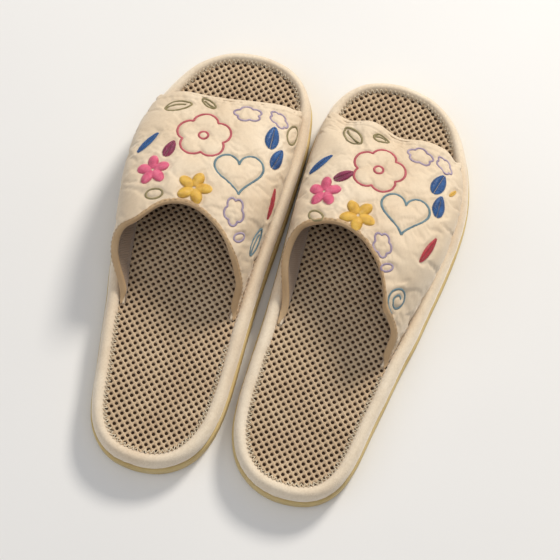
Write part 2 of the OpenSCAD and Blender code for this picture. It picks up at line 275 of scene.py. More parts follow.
def tube(P, up, r, sides=6, closed=False, taper=True, flat=1.0):
    """Vertices and quads of a thread along P. r may vary along it."""
    P = np.asarray(P, float)
    n = len(P)
    if closed:
        Q = np.concatenate([P[-1:], P, P[:1]])
        Uq = np.concatenate([up[-1:], up, up[:1]])
        T, S, U = frames(Q, Uq)
        S, U = S[1:-1], U[1:-1]
    else:
        T, S, U = frames(P, up)
    r = np.broadcast_to(np.asarray(r, float), (n,)).copy()
    if taper and not closed:
        r[0] *= 0.35
        r[-1] *= 0.35
    a = np.arange(sides) * 2 * math.pi / sides
    ring = P[:, None] + r[:, None, None] * (np.cos(a)[None, :, None] * S[:, None] + flat * np.sin(a)[None, :, None] * U[:, None])
    V = ring.reshape(-1, 3)
    F = quads_grid(sides, n, wrap_u=True)
    if closed:
        j = np.arange(sides)
        last = (n - 1) * sides
        F = np.concatenate([F, np.stack([last + j, last + (j + 1) % sides, (j + 1) % sides, j], -1)])
        return V, F
    # end fans as quads, with the ring's own points
    caps = []
    for o, flip in ((0, True), ((n - 1) * sides, False)):
        for k in range(0, sides - 2, 2):
            q = [o, o + k + 1, o + k + 2, o + min(k + 3, sides - 1)]
            if k + 3 > sides - 1:
                q = [o, o + k + 1, o + k + 2, o + k + 2]
            caps.append(q[::-1] if flip else q)
    caps = [c for c in caps if len(set(c)) == 4]
    return V, np.concatenate([F, np.array(caps).reshape(-1, 4)]) if caps else F


def resample(P, step, closed=False):
    P = np.asarray(P, float)
    if closed:
        P = np.concatenate([P, P[:1]])
    s = np.concatenate([[0], np.cumsum(np.linalg.norm(np.diff(P, axis=0), axis=1))])
    n = max(3, int(round(s[-1] / step)))
    q = np.linspace(0, s[-1], n + 1)
    if closed:
        q = q[:-1]
    return np.stack([np.interp(q, s, P[:, k]) for k in range(P.shape[1])], -1)


# ---------------------------------------------------------------- materials
def srgb(r, g, b):
    def lin(c):
        c /= 255.0
        return c / 12.92 if c <= 0.04045 else ((c + 0.055) / 1.055) ** 2.4
    return (lin(r), lin(g), lin(b), 1.0)


class Tree:
    def __init__(self, name):
        self.m = bpy.data.materials.new(name)
        self.m.use_nodes = True
        self.t = self.m.node_tree
        self.t.nodes.clear()
        self.out = self.n("ShaderNodeOutputMaterial")
        self.b = self.n("ShaderNodeBsdfPrincipled")
        self.l(self.b, "BSDF", self.out, "Surface")
        self.co = self.n("ShaderNodeTexCoord")

    def n(self, kind, **kw):
        x = self.t.nodes.new(kind)
        for k, v in kw.items():
            setattr(x, k, v)
        return x

    def l(self, a, sa, b, sb):
        self.t.links.new(a.outputs[sa], b.inputs[sb])

    def noise(self, scale, detail=4.0, rough=0.6, src=None, distortion=0.0):
        x = self.n("ShaderNodeTexNoise")
        x.inputs["Scale"].default_value = scale
        x.inputs["Detail"].default_value = detail
        x.inputs["Roughness"].default_value = rough
        x.inputs["Distortion"].default_value = distortion
        self.coords(x, src)
        return x

    def coords(self, x, src=None):
        if src is None:
            self.l(self.co, "Object", x, "Vector")
        else:
            self.t.links.new(src, x.inputs["Vector"])

    def uv(self, scale=1.0, rot=0.0):
        u = self.n("ShaderNodeUVMap", uv_map="weave")
        m = self.n("ShaderNodeMapping")
        m.inputs["Scale"].default_value = (scale, scale, scale)
        m.inputs["Rotation"].default_value = (0, 0, rot)
        self.l(u, "UV", m, "Vector")
        return m.outputs["Vector"]

    def ramp(self, src, stops):
        r = self.n("ShaderNodeValToRGB")
        e = r.color_ramp.elements
        while len(e) < len(stops):
            e.new(0.5)
        for k, (p, c) in enumerate(stops):
            e[k].position = p
            e[k].color = c
        self.t.links.new(src, r.inputs["Fac"])
        return r

    def mix(self, fac, a, b, blend="MIX"):
        m = self.n("ShaderNodeMix", data_type="RGBA", blend_type=blend)
        if isinstance(fac, (int, float)):
            m.inputs[0].default_value = fac
        else:
            self.t.links.new(fac, m.inputs[0])
        for s, v in ((6, a), (7, b)):
            if isinstance(v, tuple):
                m.inputs[s].default_value = v
            else:
                self.t.links.new(v, m.inputs[s])
        return m.outputs[2]

    def math(self, op, a, b=None):
        m = self.n("ShaderNodeMath", operation=op)
        for k, v in enumerate((a, b)):
            if v is None:
                continue
            if isinstance(v, (int, float)):
                m.inputs[k].default_value = v
            else:
                self.t.links.new(v, m.inputs[k])
        return m.outputs[0]

    def bump(self, height, strength, distance, under=None):
        b = self.n("ShaderNodeBump")
        b.inputs["Strength"].default_value = strength
        b.inputs["Distance"].default_value = distance
        self.t.links.new(height, b.inputs["Height"])
        if under is not None:
            self.t.links.new(under, b.inputs["Normal"])
        return b.outputs["Normal"]

    def set(self, **kw):
        for k, v in kw.items():
            self.b.inputs[k.replace("_", " ")].default_value = v

    def color(self, src):
        self.t.links.new(src, self.b.inputs["Base Color"])

    def normal(self, src):
        self.t.links.new(src, self.b.inputs["Normal"])


def weave(T, pitch_mm, src):
    """Height of a plain weave of the given thread pitch, from a UV in millimetres."""
    sep = T.n("ShaderNodeSeparateXYZ")
    T.t.links.new(src, sep.inputs[0])
    k = math.pi / pitch_mm
    u = T.math("MULTIPLY", sep.outputs[0], k)
    v = T.math("MULTIPLY", sep.outputs[1], k)
    su = T.math("ABSOLUTE", T.math("SINE", u))
    sv = T.math("ABSOLUTE", T.math("SINE", v))
    par = T.math("SIGN", T.math("MULTIPLY", T.math("SINE", T.math("MULTIPLY", u, 1.0)), T.math("SINE", T.math("MULTIPLY", v, 1.0))))
    par = T.math("ADD", T.math("MULTIPLY", par, 0.5), 0.5)
    one = T.math("MULTIPLY", par, su)
    two = T.math("MULTIPLY", T.math("SUBTRACT", 1.0, par), sv)
    return T.math("ADD", one, two)


def upper_cloth(name, base, low, high, sheen=0.5, rough=0.62, pitch=0.55, coat=0.0):
    T = Tree(name)
    uv = T.uv()
    big = T.noise(26.0, 3, 0.55)
    fine = T.noise(900.0, 5, 0.65)
    slub = T.noise(1.0, 3, 0.6, src=T.uv(0.55))
    tone = T.ramp(big.outputs["Fac"], [(0.30, low), (0.52, base), (0.74, high)]).outputs["Color"]
    spec = T.ramp(fine.outputs["Fac"], [(0.30, (0.86, 0.84, 0.82, 1)), (0.70, (1, 1, 1, 1))]).outputs["Color"]
    c = T.mix(0.35, tone, spec, "MULTIPLY")
    slubc = T.ramp(slub.outputs["Fac"], [(0.35, (0.93, 0.92, 0.91, 1)), (0.65, (1, 1, 1, 1))]).outputs["Color"]
    c = T.mix(0.6, c, slubc, "MULTIPLY")
    T.color(c)
    h = weave(T, pitch, uv)
    n1 = T.bump(fine.outputs["Fac"], 0.30, 0.00012)
    n2 = T.bump(h, 0.55, 0.00010, n1)
    T.normal(n2)
    r = T.ramp(fine.outputs["Fac"], [(0.2, (rough - 0.08,) * 3 + (1,)), (0.8, (rough + 0.08,) * 3 + (1,))])
    T.t.links.new(r.outputs["Color"], T.b.inputs["Roughness"])
    T.set(Sheen_Weight=sheen, Sheen_Roughness=0.35, Specular_IOR_Level=0.35)
    T.b.inputs["Sheen Tint"].default_value = (1.0, 0.95, 0.88, 1.0)
    return T.m


def pile_cloth(name, base, low, high):
    """Short brushed pile, as on the edge roll."""
    T = Tree(name)
    big = T.noise(30.0, 3, 0.5)
    fine = T.noise(1400.0, 6, 0.75)
    tuft = T.noise(420.0, 3, 0.6, distortion=1.5)
    tone = T.ramp(big.outputs["Fac"], [(0.28, low), (0.5, base), (0.75, high)]).outputs["Color"]
    t2 = T.ramp(tuft.outputs["Fac"], [(0.28, (0.78, 0.75, 0.71, 1)), (0.62, (1, 1, 1, 1))]).outputs["Color"]
    c = T.mix(0.55, tone, t2, "MULTIPLY")
    t3 = T.ramp(fine.outputs["Fac"], [(0.30, (0.84, 0.82, 0.80, 1)), (0.65, (1, 1, 1, 1))]).outputs["Color"]
    c = T.mix(0.5, c, t3, "MULTIPLY")
    T.color(c)
    n1 = T.bump(tuft.outputs["Fac"], 0.5, 0.00035)
    n2 = T.bump(fine.outputs["Fac"], 0.7, 0.00018, n1)
    T.normal(n2)
    T.set(Roughness=0.88, Sheen_Weight=0.8, Sheen_Roughness=0.5, Specular_IOR_Level=0.2)
    T.b.inputs["Sheen Tint"].default_value = (1.0, 0.96, 0.9, 1.0)
    return T.m


def knit_cloth(name, base, low, scale=700.0, rough=0.85, sheen=0.4):
    T = Tree(name)
    big = T.noise(45.0, 3, 0.5)
    fine = T.noise(scale, 4, 0.7)
    w = T.n("ShaderNodeTexWave", wave_type="BANDS", bands_direction="DIAGONAL")
    w.inputs["Scale"].default_value = 520.0
    w.inputs["Distortion"].default_value = 1.5
    w.inputs["Detail"].default_value = 2.0
    T.coords(w)
    tone = T.ramp(big.outputs["Fac"], [(0.3, low), (0.7, base)]).outputs["Color"]
    d = T.ramp(w.outputs["Fac"], [(0.0, (0.80, 0.78, 0.75, 1)), (0.6, (1, 1, 1, 1))]).outputs["Color"]
    c = T.mix(0.5, tone, d, "MULTIPLY")
    f = T.ramp(fine.outputs["Fac"], [(0.3, (0.85, 0.83, 0.81, 1)), (0.7, (1, 1, 1, 1))]).outputs["Color"]
    T.color(T.mix(0.45, c, f, "MULTIPLY"))
    n1 = T.bump(w.outputs["Fac"], 0.5, 0.00022)
    T.normal(T.bump(fine.outputs["Fac"], 0.5, 0.00012, n1))
    T.set(Roughness=rough, Sheen_Weight=sheen, Sheen_Roughness=0.5, Specular_IOR_Level=0.25)
    return T.m


def thread(name, base, dark, gloss=0.34):
    """Twisted embroidery thread with a soft lustre."""
    T = Tree(name)
    w = T.n("ShaderNodeTexWave", wave_type="BANDS", bands_direction="DIAGONAL")
    w.inputs["Scale"].default_value = 1500.0
    w.inputs["Distortion"].default_value = 0.8
    T.coords(w)
    v = T.noise(160.0, 3, 0.6)
    f = T.noise(2600.0, 3, 0.6)
    tone = T.ramp(v.outputs["Fac"], [(0.30, dark), (0.62, base)]).outputs["Color"]
    d = T.ramp(w.outputs["Fac"], [(0.0, (0.72, 0.72, 0.72, 1)), (0.55, (1, 1, 1, 1))]).outputs["Color"]
    T.color(T.mix(0.55, tone, d, "MULTIPLY"))
    n1 = T.bump(w.outputs["Fac"], 0.5, 0.00012)
    T.normal(T.bump(f.outputs["Fac"], 0.3, 0.00006, n1))
    T.set(Roughness=gloss, Sheen_Weight=0.25, Sheen_Roughness=0.4, Specular_IOR_Level=0.5)
    return T.m


def foam_rubber(name, base, low, high):
    T = Tree(name)
    big = T.noise(38.0, 4, 0.6)
    cell = T.n("ShaderNodeTexVoronoi", feature="F1")
    cell.inputs["Scale"].default_value = 1100.0
    T.coords(cell)
    mid = T.noise(260.0, 5, 0.7)
    tone = T.ramp(big.outputs["Fac"], [(0.28, low), (0.5, base), (0.76, high)]).outputs["Color"]
    d = T.ramp(mid.outputs["Fac"], [(0.32, (0.84, 0.82, 0.78, 1)), (0.66, (1, 1, 1, 1))]).outputs["Color"]
    T.color(T.mix(0.45, tone, d, "MULTIPLY"))
    n1 = T.bump(mid.outputs["Fac"], 0.35, 0.0003)
    T.normal(T.bump(cell.outputs["Distance"], 0.35, 0.00015, n1))
    r = T.ramp(mid.outputs["Fac"], [(0.2, (0.50,) * 3 + (1,)), (0.8, (0.68,) * 3 + (1,))])
    T.t.links.new(r.outputs["Color"], T.b.inputs["Roughness"])
    T.set(Specular_IOR_Level=0.4)
    return T.m


M_UPPER = upper_cloth("upper_fabric", srgb(229, 209, 181), srgb(219, 196, 166), srgb(237, 220, 195), sheen=0.30, rough=0.52)
M_LINING = knit_cloth("lining", srgb(176, 152, 130), srgb(158, 134, 112))
M_EDGE = pile_cloth("edge_fabric", srgb(236, 219, 194), srgb(226, 205, 178), srgb(243, 229, 207))
M_BIND = upper_cloth("binding", srgb(200, 168, 128), srgb(184, 151, 112), srgb(211, 182, 143), sheen=0.3, rough=0.65, pitch=0.7)
M_MESH = knit_cloth("mesh", srgb(214, 189, 156), srgb(198, 171, 138), scale=1500.0, rough=0.78, sheen=0.35)
# Brown backing cloth under the mesh. Its colour is partly the real backing and partly painted shade, darkened to
# stand for the shade inside the mesh holes.
M_BACKING_AND_HOLE_SHADE = knit_cloth("footbed_backing_and_hole_shade", srgb(108, 82, 60), srgb(90, 67, 48), scale=900.0)
M_SOLE = foam_rubber("outsole", srgb(210, 186, 130), srgb(198, 172, 114), srgb(219, 198, 147))
M_TAN = thread("thread_tan", srgb(196, 166, 126), srgb(172, 142, 104), 0.5)
M_SEAM = thread("thread_cream", srgb(236, 222, 196), srgb(210, 192, 162), 0.5)
THREADS = {
    "rose": thread("thread_rose", srgb(204, 98, 108), srgb(176, 72, 84)),
    "pink": thread("thread_pink", srgb(238, 112, 146), srgb(216, 84, 122)),
    "magenta": thread("thread_magenta", srgb(150, 48, 88), srgb(120, 34, 72)),
    "blue": thread("thread_blue", srgb(36, 96, 160), srgb(24, 70, 126)),
    "gold": thread("thread_gold", srgb(240, 196, 84), srgb(212, 160, 52)),
    "red": thread("thread_red", srgb(196, 58, 70), srgb(164, 42, 54)),
    "lilac": thread("thread_lilac", srgb(182, 166, 188), srgb(156, 138, 166)),
    "teal": thread("thread_teal", srgb(118, 148, 158), srgb(92, 122, 136)),
    "olive": thread("thread_olive", srgb(158, 144, 98), srgb(128, 116, 76)),
}


# ---------------------------------------------------------------- sole
def even_stations(n, d=0.0):
    """n station values evenly spaced along the outline."""
    t = np.linspace(0, 36, 7201)
    P = inset(t, d)
    s = np.concatenate([[0], np.cumsum(np.linalg.norm(np.diff(P, axis=0), axis=1))])
    return np.interp(np.arange(n) * s[-1] / n, s, t), s[-1] / n


def smooth_loop(P, n):
    """A closed profile through the points P, with n points evenly spaced."""
    P = np.asarray(P, float)
    m = len(P)
    q = np.linspace(0, m, 40 * m, endpoint=False)
    i = np.floor(q).astype(int)
    s = (q - i)[:, None]
    C = cr(P[(i - 1) % m], P[i % m], P[(i + 1) % m], P[(i + 2) % m], s)
    return resample(C, 1.0, closed=True) if n is None else even_loop(C, n)


def even_loop(C, n):
    C = np.concatenate([C, C[:1]])
    s = np.concatenate([[0], np.cumsum(np.linalg.norm(np.diff(C, axis=0), axis=1))])
    q = np.linspace(0, s[-1], n, endpoint=False)
    return np.stack([np.interp(q, s, C[:, k]) for k in range(C.shape[1])], -1)


def rim_at(t, d):
    """Inset by d, with the roll and all inside it a little tighter round the toe."""
    k = smoothstep(2.6 - np.abs(np.mod(t, 36.0) - 18.0) + 1.4, 0.0, 2.2)
    return inset(t, d * (1 - 0.25 * k))


def ring_band(t, prof, wobble=None):
    """A closed tube whose section is prof (distance in, height) at every station."""
    n, m = len(t), len(prof)
    D = np.broadcast_to(prof[None, :, 0], (n, m)).copy()
    Z = np.broadcast_to(prof[None, :, 1], (n, m)).copy()
    if wobble is not None:
        dd, dz = wobble
        D += dd
        Z += dz
    P = lift(rim_at(np.broadcast_to(t[:, None], (n, m)), D), Z)
    V = P.reshape(-1, 3)
    F = quads_grid(m, n, wrap_u=True)
    j = np.arange(m)
    last = (n - 1) * m
    F = np.concatenate([F, np.stack([last + j, last + (j + 1) % m, (j + 1) % m, j], -1)])
    return V, F


def sides_at(d, y):
    """Left and right x of the outline inset by d, at heights y."""
    t = np.linspace(0, 36, 4001)
    P = rim_at(t, d)
    top = int(np.argmax(P[:, 1]))
    bot = int(np.argmin(P[: len(P) // 4, 1]))
    right = P[bot:top + 1]
    left = np.concatenate([P[top:], P[:bot + 1]])[::-1]
    right = right[np.argsort(right[:, 1], kind="stable")]
    left = left[np.argsort(left[:, 1], kind="stable")]
    return np.interp(y, left[:, 1], left[:, 0]), np.interp(y, right[:, 1], right[:, 0])


def y_range(d):
    P = rim_at(np.linspace(0, 36, 4001), d)
    return P[:, 1].min(), P[:, 1].max()


TREADS = [(-15, 152, 222, 30, 14), (25, 152, 222, 32, -14), (-18, 26, 82, 24, 14), (18, 26, 82, 24, -14)]


def tread(x, y):
    """Depth cut into the underside."""
    z = np.zeros_like(x)
    for cx, y0, y1, ln, tilt in TREADS:
        a = math.radians(tilt)
        for cy in np.arange(y0, y1 + 0.01, 11):
            u = (x - cx) * math.cos(a) + (y - cy) * math.sin(a)
            v = -(x - cx) * math.sin(a) + (y - cy) * math.cos(a)
            s = np.hypot(np.maximum(np.abs(u) - (ln / 2 - 1.2), 0), v)
            k = np.clip((1.50 - s) / 0.7, 0, 1)
            z = np.maximum(z, 1.6 * k * k * (3 - 2 * k))
            # a fine sipe between two slots
            v2 = v - 5.5
            s2 = np.hypot(np.maximum(np.abs(u) - (ln / 2 - 3.0), 0), v2)
            k2 = np.clip((1.0 - s2) / 0.8, 0, 1)
            z = np.maximum(z, 0.55 * k2 * k2 * (3 - 2 * k2))
    return z


def build_outsole(side):
    out = Parts()
    t, _ = even_stations(640)
    prof = np.array([
        [2.2, 0.0], [1.2, 0.02], [0.75, 0.12], [0.35, 0.40], [0.08, 0.85], [0.0, 1.5], [0.0, 3.0],
        [0.12, 3.35], [0.0, 3.7], [0.0, 5.4], [0.02, 7.2], [0.12, 8.0], [0.4, 8.6], [0.95, 8.92], [2.0, 8.97],
        [4.0, 8.97], [6.0, 8.9], [6.0, 4.5], [6.0, 0.12], [5.6, 0.0], [4.0, 0.0]])
    T = t[:, None]
    wob = 0.10 * wave_noise(T * 2.2, prof[None, :, 1] * 0.25, 3 if side == "left" else 8)
    edge = np.exp(-((prof[None, :, 1] - 4.5) / 4.0) ** 2) * (prof[None, :, 0] < 1.0)
    out.add(*ring_band(t, prof, (wob * edge, 0 * wob)))
    lo, hi = y_range(5.6)
    y = np.linspace(lo + 0.05, hi - 0.05, 400)
    xl, xr = sides_at(5.6, y)
    s = np.linspace(0, 1, 144)
    X = xl[:, None] + (xr - xl)[:, None] * s
    Y = np.broadcast_to(y[:, None], X.shape)
    B = np.stack([X, Y, tread(X, Y)], -1)
    nv, nu = X.shape
    V = B.reshape(-1, 3)
    F = quads_grid(nu, nv)
    TL = np.stack([xl, y, 0 * y + 8.9], -1)
    TR = np.stack([xr, y, 0 * y + 8.9], -1)
    base = len(V)
    V = np.concatenate([V, TL, TR])
    j = np.arange(nv - 1)
    top = np.stack([base + j, base + j + 1, base + nv + j + 1, base + nv + j], -1)
    wl = np.stack([j * nu, (j + 1) * nu, base + j + 1, base + j], -1)
    wr = np.stack([j * nu + nu - 1, base + nv + j, base + nv + j + 1, (j + 1) * nu + nu - 1], -1)
    faces = [tuple(f) for f in np.concatenate([F[:, ::-1], top[:, ::-1], wl[:, ::-1], wr[:, ::-1]]).tolist()]
    faces.append(tuple([base] + [base + nv] + list(range(nu - 1, -1, -1)))[::-1])
    faces.append(tuple([base + nv - 1] + [(nv - 1) * nu + k for k in range(nu)] + [base + 2 * nv - 1])[::-1])
    Vb, Fb = out.V[0], [tuple(f) for f in out.F[0].tolist()]
    if volume(Vb, Fb) < 0:
        Fb = [f[::-1] for f in Fb]
    if volume(V, [f[:4] for f in faces[:-2]]) < 0:
        faces = [f[::-1] for f in faces]
    n = len(Vb)
    F = Fb + [tuple(k + n for k in f) for f in faces]
    ob = make(side + "_outsole_moulded", side, np.concatenate([Vb, V]), F, M_SOLE)
    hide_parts(side + "_outsole")
    return ob


ROLL = np.array([
    [3.4, 0.05], [2.0, 0.5], [1.35, 2.0], [1.1, 4.2], [1.35, 6.4], [2.3, 8.6], [3.8, 10.1], [5.5, 10.55],
    [7.1, 10.0], [8.4, 8.7], [8.95, 7.3], [8.7, 6.0], [7.6, 4.6], [6.6, 2.6], [6.3, 0.6], [5.0, 0.05]])


def build_roll(side):
    t, step = even_stations(860)
    prof = smooth_loop(ROLL, 40)
    prof[:, 1] += Z_BOARD
    n, m = len(t), len(prof)
    arc = (np.arange(n) * step)[:, None]
    d, z = prof[None, :, 0], prof[None, :, 1] - Z_BOARD
    c = prof.mean(0)
    rd, rz = prof[:, 0] - c[0], prof[:, 1] - c[1]
    rr = np.hypot(rd, rz)
    rd, rz = (rd / rr)[None], (rz / rr)[None]
    seed = 11 if side == "left" else 23
    ang = np.arctan2(z - 5.3, d - 5.2)
    broad = wave_noise(arc / 16.0, ang * 0.8, seed, 2) * 0.30
    mid = wave_noise(arc / 4.5, ang * 1.1 + 4, seed + 1, 2) * 0.16
    near_seam = np.exp(-((d - 8.9) / 1.7) ** 2 - ((z - 7.6) / 2.2) ** 2)
    near_base = np.exp(-((z - 0.6) / 2.4) ** 2) * (d < 4)
    phase = arc * 2 * math.pi / 2.9 + 1.2 * wave_noise(arc / 9, 0, seed + 5, 2)
    gather = 0.30 * (0.5 + 0.5 * np.cos(phase)) * near_seam
    ph2 = arc * 2 * math.pi / 6.3 + 2.6 * wave_noise(arc / 14, 0, seed + 7, 2) + 0.5 * z
    amp = np.clip(0.5 + 0.7 * wave_noise(arc / 20, 0, seed + 9, 2), 0, 1.2)
    pucker = 0.42 * np.maximum(np.cos(ph2), -0.2) * near_base * amp
    outside = (d < 5.6) * 1.0
    tuck = 0.22 * np.exp(-((np.mod(ph2 + 1.0, 2 * math.pi) - math.pi) / 0.5) ** 2) * np.exp(-((z - 3.0) / 3.5) ** 2) * outside * amp
    push = broad + mid - gather - pucker - tuck
    push = push * (z > 0.3)
    # the soft roll leans a little in and out along its length
    lean = 0.25 * wave_noise(arc / 30, 0, seed + 13, 2) * np.clip(z / 8, 0, 1)
    V, F = ring_band(t, prof, (push * rd + lean, np.minimum(push * rz, 10)))
    V[:, 2] = np.maximum(V[:, 2], Z_BOARD + 0.02)
    ob = make(side + "_edge_roll", side, V, F, M_EDGE)
    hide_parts(side + "_edge_cover", side + "_edge_cord")
    return ob


def hollow(t):
    y = t / 18
    return 2.4 * np.exp(-((y - 0.22) / 0.16) ** 2) + 1.5 * np.exp(-((y - 0.66) / 0.14) ** 2)


def dip_at(x, y):
    """How far the footbed is hollowed at a point, from its station lines."""
    d = SEAM_IN + 0.1
    lo = np.full(x.shape, 0.02)
    hi = np.full(x.shape, 17.98)
    P = np.stack([x, y], -1)
    for _ in range(26):
        m = (lo + hi) / 2
        A, B = inset(m, d), inset(36 - m, d)
        u, v = B - A, P - A
        side = u[..., 0] * v[..., 1] - u[..., 1] * v[..., 0]
        below = side > 0
        lo = np.where(below, lo, m)
        hi = np.where(below, m, hi)
    m = (lo + hi) / 2
    A, B = inset(m, d), inset(36 - m, d)
    u = B - A
    s = 2 * ((P - A) * u).sum(-1) / np.maximum((u * u).sum(-1), 1e-6) - 1
    return hollow(m) * np.maximum(0, 1 - s * s) ** 0.8


DIP_Y = np.linspace(6, 256, 126)
DIP_S = np.linspace(-1, 1, 41)
_l, _r = sides_at(SEAM_IN, DIP_Y)
_xs = _l[:, None] + (_r - _l)[:, None] * (DIP_S * 0.5 + 0.5)
DIP_T = dip_at(_xs, np.broadcast_to(DIP_Y[:, None], _xs.shape))


def dip(x, y):
    """Table look-up of dip_at."""
    l, r = sides_at(SEAM_IN, y)
    s = np.clip((x - l) / np.maximum(r - l, 1e-3), 0, 1) * (len(DIP_S) - 1)
    v = np.clip((y - DIP_Y[0]) / (DIP_Y[1] - DIP_Y[0]), 0, len(DIP_Y) - 1.001)
    i, j = np.floor(v).astype(int), np.minimum(np.floor(s).astype(int), len(DIP_S) - 2)
    fi, fj = v - i, s - j
    return ((1 - fi) * ((1 - fj) * DIP_T[i, j] + fj * DIP_T[i, j + 1]) + fi * ((1 - fj) * DIP_T[i + 1, j] + fj * DIP_T[i + 1, j + 1]))


def build_footbed(side):
    lo, hi = y_range(7.2)
    y = np.linspace(lo + 0.05, hi - 0.05, 150)
    xl, xr = sides_at(7.2, y)
    s = np.linspace(0, 1, 64)
    X = xl[:, None] + (xr - xl)[:, None] * s
    Y = np.broadcast_to(y[:, None], X.shape)
    Z = Z_SEAM - 2.0 - dip(X, Y)
    nv, nu = X.shape
    up = np.stack([X, Y, Z], -1).reshape(-1, 3)
    dn = np.stack([X, Y, 0 * X + 9.02], -1).reshape(-1, 3)
    F = quads_grid(nu, nv)
    G = F[:, ::-1] + len(up)
    n = len(up)
    rim = np.concatenate([np.arange(nu), np.arange(1, nv) * nu + nu - 1, (nv - 1) * nu + np.arange(nu - 2, -1, -1), np.arange(nv - 2, 0, -1) * nu])
    nxt = np.roll(rim, -1)
    W = np.stack([rim + n, nxt + n, nxt, rim], -1)
    # The pad's dark top shows through the mesh holes as partly painted shade.
    ob = make(side + "_footbed_pad", side, np.concatenate([up, dn]), np.concatenate([F, G, W]), M_BACKING_AND_HOLE_SHADE)
    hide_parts(side + "_footbed_foam", side + "_board")
    return ob


MESH_PITCH = 3.25
MESH_EDGE = 8.35


def build_mesh(side):
    """The spacer mesh: a lattice of crossing ribs with a round hole in every cell."""
    p = MESH_PITCH
    r2 = math.sqrt(0.5)
    raised = "a" if side == "right" else "b"
    lo, hi = y_range(MESH_EDGE)
    R = 62
    I, J = np.meshgrid(np.arange(-R, R + 1), np.arange(-R, R + 1), indexing="ij")
    I, J = I.ravel(), J.ravel()
    cx = (I - J) * p * r2 + 5.0
    cy = (I + J) * p * r2 + 131.0
    ok = (cy > lo - 1) & (cy < hi + 1)
    l, r = sides_at(7.6, np.clip(cy, *y_range(7.6)))
    lo2, hi2 = y_range(7.6)
    ok &= (cx > l) & (cx < r) & (cy > lo2) & (cy < hi2)
    I, J = I[ok], J[ok]
    # half-step boundary points of each cell, counter-clockwise from +a
    ring = [(1, 0), (1, 1), (0, 1), (-1, 1), (-1, 0), (-1, -1), (0, -1), (1, -1)]
    A = np.stack([2 * I + a for a, b in ring], -1)
    B = np.stack([2 * J + b for a, b in ring], -1)
    key = (A + 1000) * 4000 + (B + 1000)
    uniq, inv = np.unique(key, return_inverse=True)
    inv = inv.reshape(key.shape)
    ua, ub = uniq // 4000 - 1000, uniq % 4000 - 1000
    bx = (ua - ub) * p * r2 / 2 + 5.0
    by = (ua + ub) * p * r2 / 2 + 131.0
    seed = 5 if side == "left" else 9
    wx = 0.16 * wave_noise(bx / 9, by / 9, seed, 2)
    wy = 0.16 * wave_noise(bx / 9 + 7, by / 9 + 3, seed + 1, 2)
    bx, by = bx + wx, by + wy
    # strands that run one way lie over those that run the other
    over = (ua % 2 != 0) if raised == "a" else (ub % 2 != 0)
    under = ~over
    bz = np.where(over, 0.50, 0.0)
    bz = np.where(under, -0.06, bz)
    outl = rim_at(np.linspace(0, 36, 3000, endpoint=False), MESH_EDGE)

    def clampxy(x, y):
        l, r = sides_at(MESH_EDGE, np.clip(y, lo, hi))
        bad = (x < l) | (x > r) | (y < lo) | (y > hi)
        q = np.nonzero(bad)[0]
        for s0 in range(0, len(q), 400):
            k = q[s0:s0 + 400]
            dd = (x[k, None] - outl[None, :, 0]) ** 2 + (y[k, None] - outl[None, :, 1]) ** 2
            m = dd.argmin(1)
            x[k], y[k] = outl[m, 0], outl[m, 1]
        return x, y

    # centres move with their ring
    ccx = bx[inv][:, ::2].mean(1)
    ccy = by[inv][:, ::2].mean(1)
    ang = np.array([math.atan2(a + b, a - b) for a, b in ring])
    ca, sa = np.cos(ang), np.sin(ang)
    n = len(I)
    jit = 0.09 * (hash01(np.arange(n), seed) - 0.5)
    rm, rh = 1.36 + jit, 1.06 + jit

    def ringat(rad, squash=1.0):
        return ccx[:, None] + rad[:, None] * ca, ccy[:, None] + rad[:, None] * sa

    mx, my = ringat(rm)
    hx, hy = ringat(rh)
    wx2, wy2 = ringat(rh + 0.02)
    bx, by = clampxy(bx, by)
    flat = []
    for x, y in ((mx, my), (hx, hy), (wx2, wy2)):
        a, b = clampxy(x.ravel().copy(), y.ravel().copy())
        flat.append((a, b))
    zb = Z_SEAM - dip(bx, by)
    zm = [Z_SEAM - dip(a, b) for a, b in flat]
    over_mid = np.array([0.24 if (abs(a) == 1 and b == 0) == (raised == "a") and (a == 0 or b == 0) else 0.02 for a, b in ring])
    top = np.stack([bx, by, zb + bz], -1)
    mid = np.stack([flat[0][0], flat[0][1], zm[0] + np.tile(over_mid, n)], -1)
    hole = np.stack([flat[1][0], flat[1][1], zm[1] - 0.42], -1)
    wall = np.stack([flat[2][0], flat[2][1], zm[2] - 1.55], -1)
    bot = np.stack([bx, by, zb - 1.7], -1)
    nb = len(bx)
    V = np.concatenate([top, mid, hole, wall, bot])
    om, oh, ow, ob_ = nb, nb + 8 * n, nb + 16 * n, nb + 24 * n
    cell = np.arange(n)[:, None] * 8
    k = np.arange(8)[None]
    k1 = (k + 1) % 8
    i0, i1 = inv, inv[:, (np.arange(8) + 1) % 8]
    F = [
        np.stack([i0, i1, om + cell + k1, om + cell + k], -1),
        np.stack([om + cell + k, om + cell + k1, oh + cell + k1, oh + cell + k], -1),
        np.stack([oh + cell + k, oh + cell + k1, ow + cell + k1, ow + cell + k], -1),
        np.stack([ow + cell + k, ow + cell + k1, ob_ + i1, ob_ + i0], -1)]
    F = np.concatenate([f.reshape(-1, 4) for f in F])
    # outer edges that only one cell uses get a wall
    e0, e1 = i0.ravel(), i1.ravel()
    fwd = set(zip(e0.tolist(), e1.tolist()))
    rim = np.array([(a, b) for a, b in fwd if (b, a) not in fwd])
    W = np.stack([rim[:, 1], rim[:, 0], ob_ + rim[:, 0], ob_ + rim[:, 1]], -1)
    W = W[np.argsort(W[:, 0], kind="stable")]
    F = np.concatenate([F, W])
    o = make(side + "_mesh_lattice", side, V, F, M_MESH)
    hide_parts(side + "_sock_mesh")
    return o


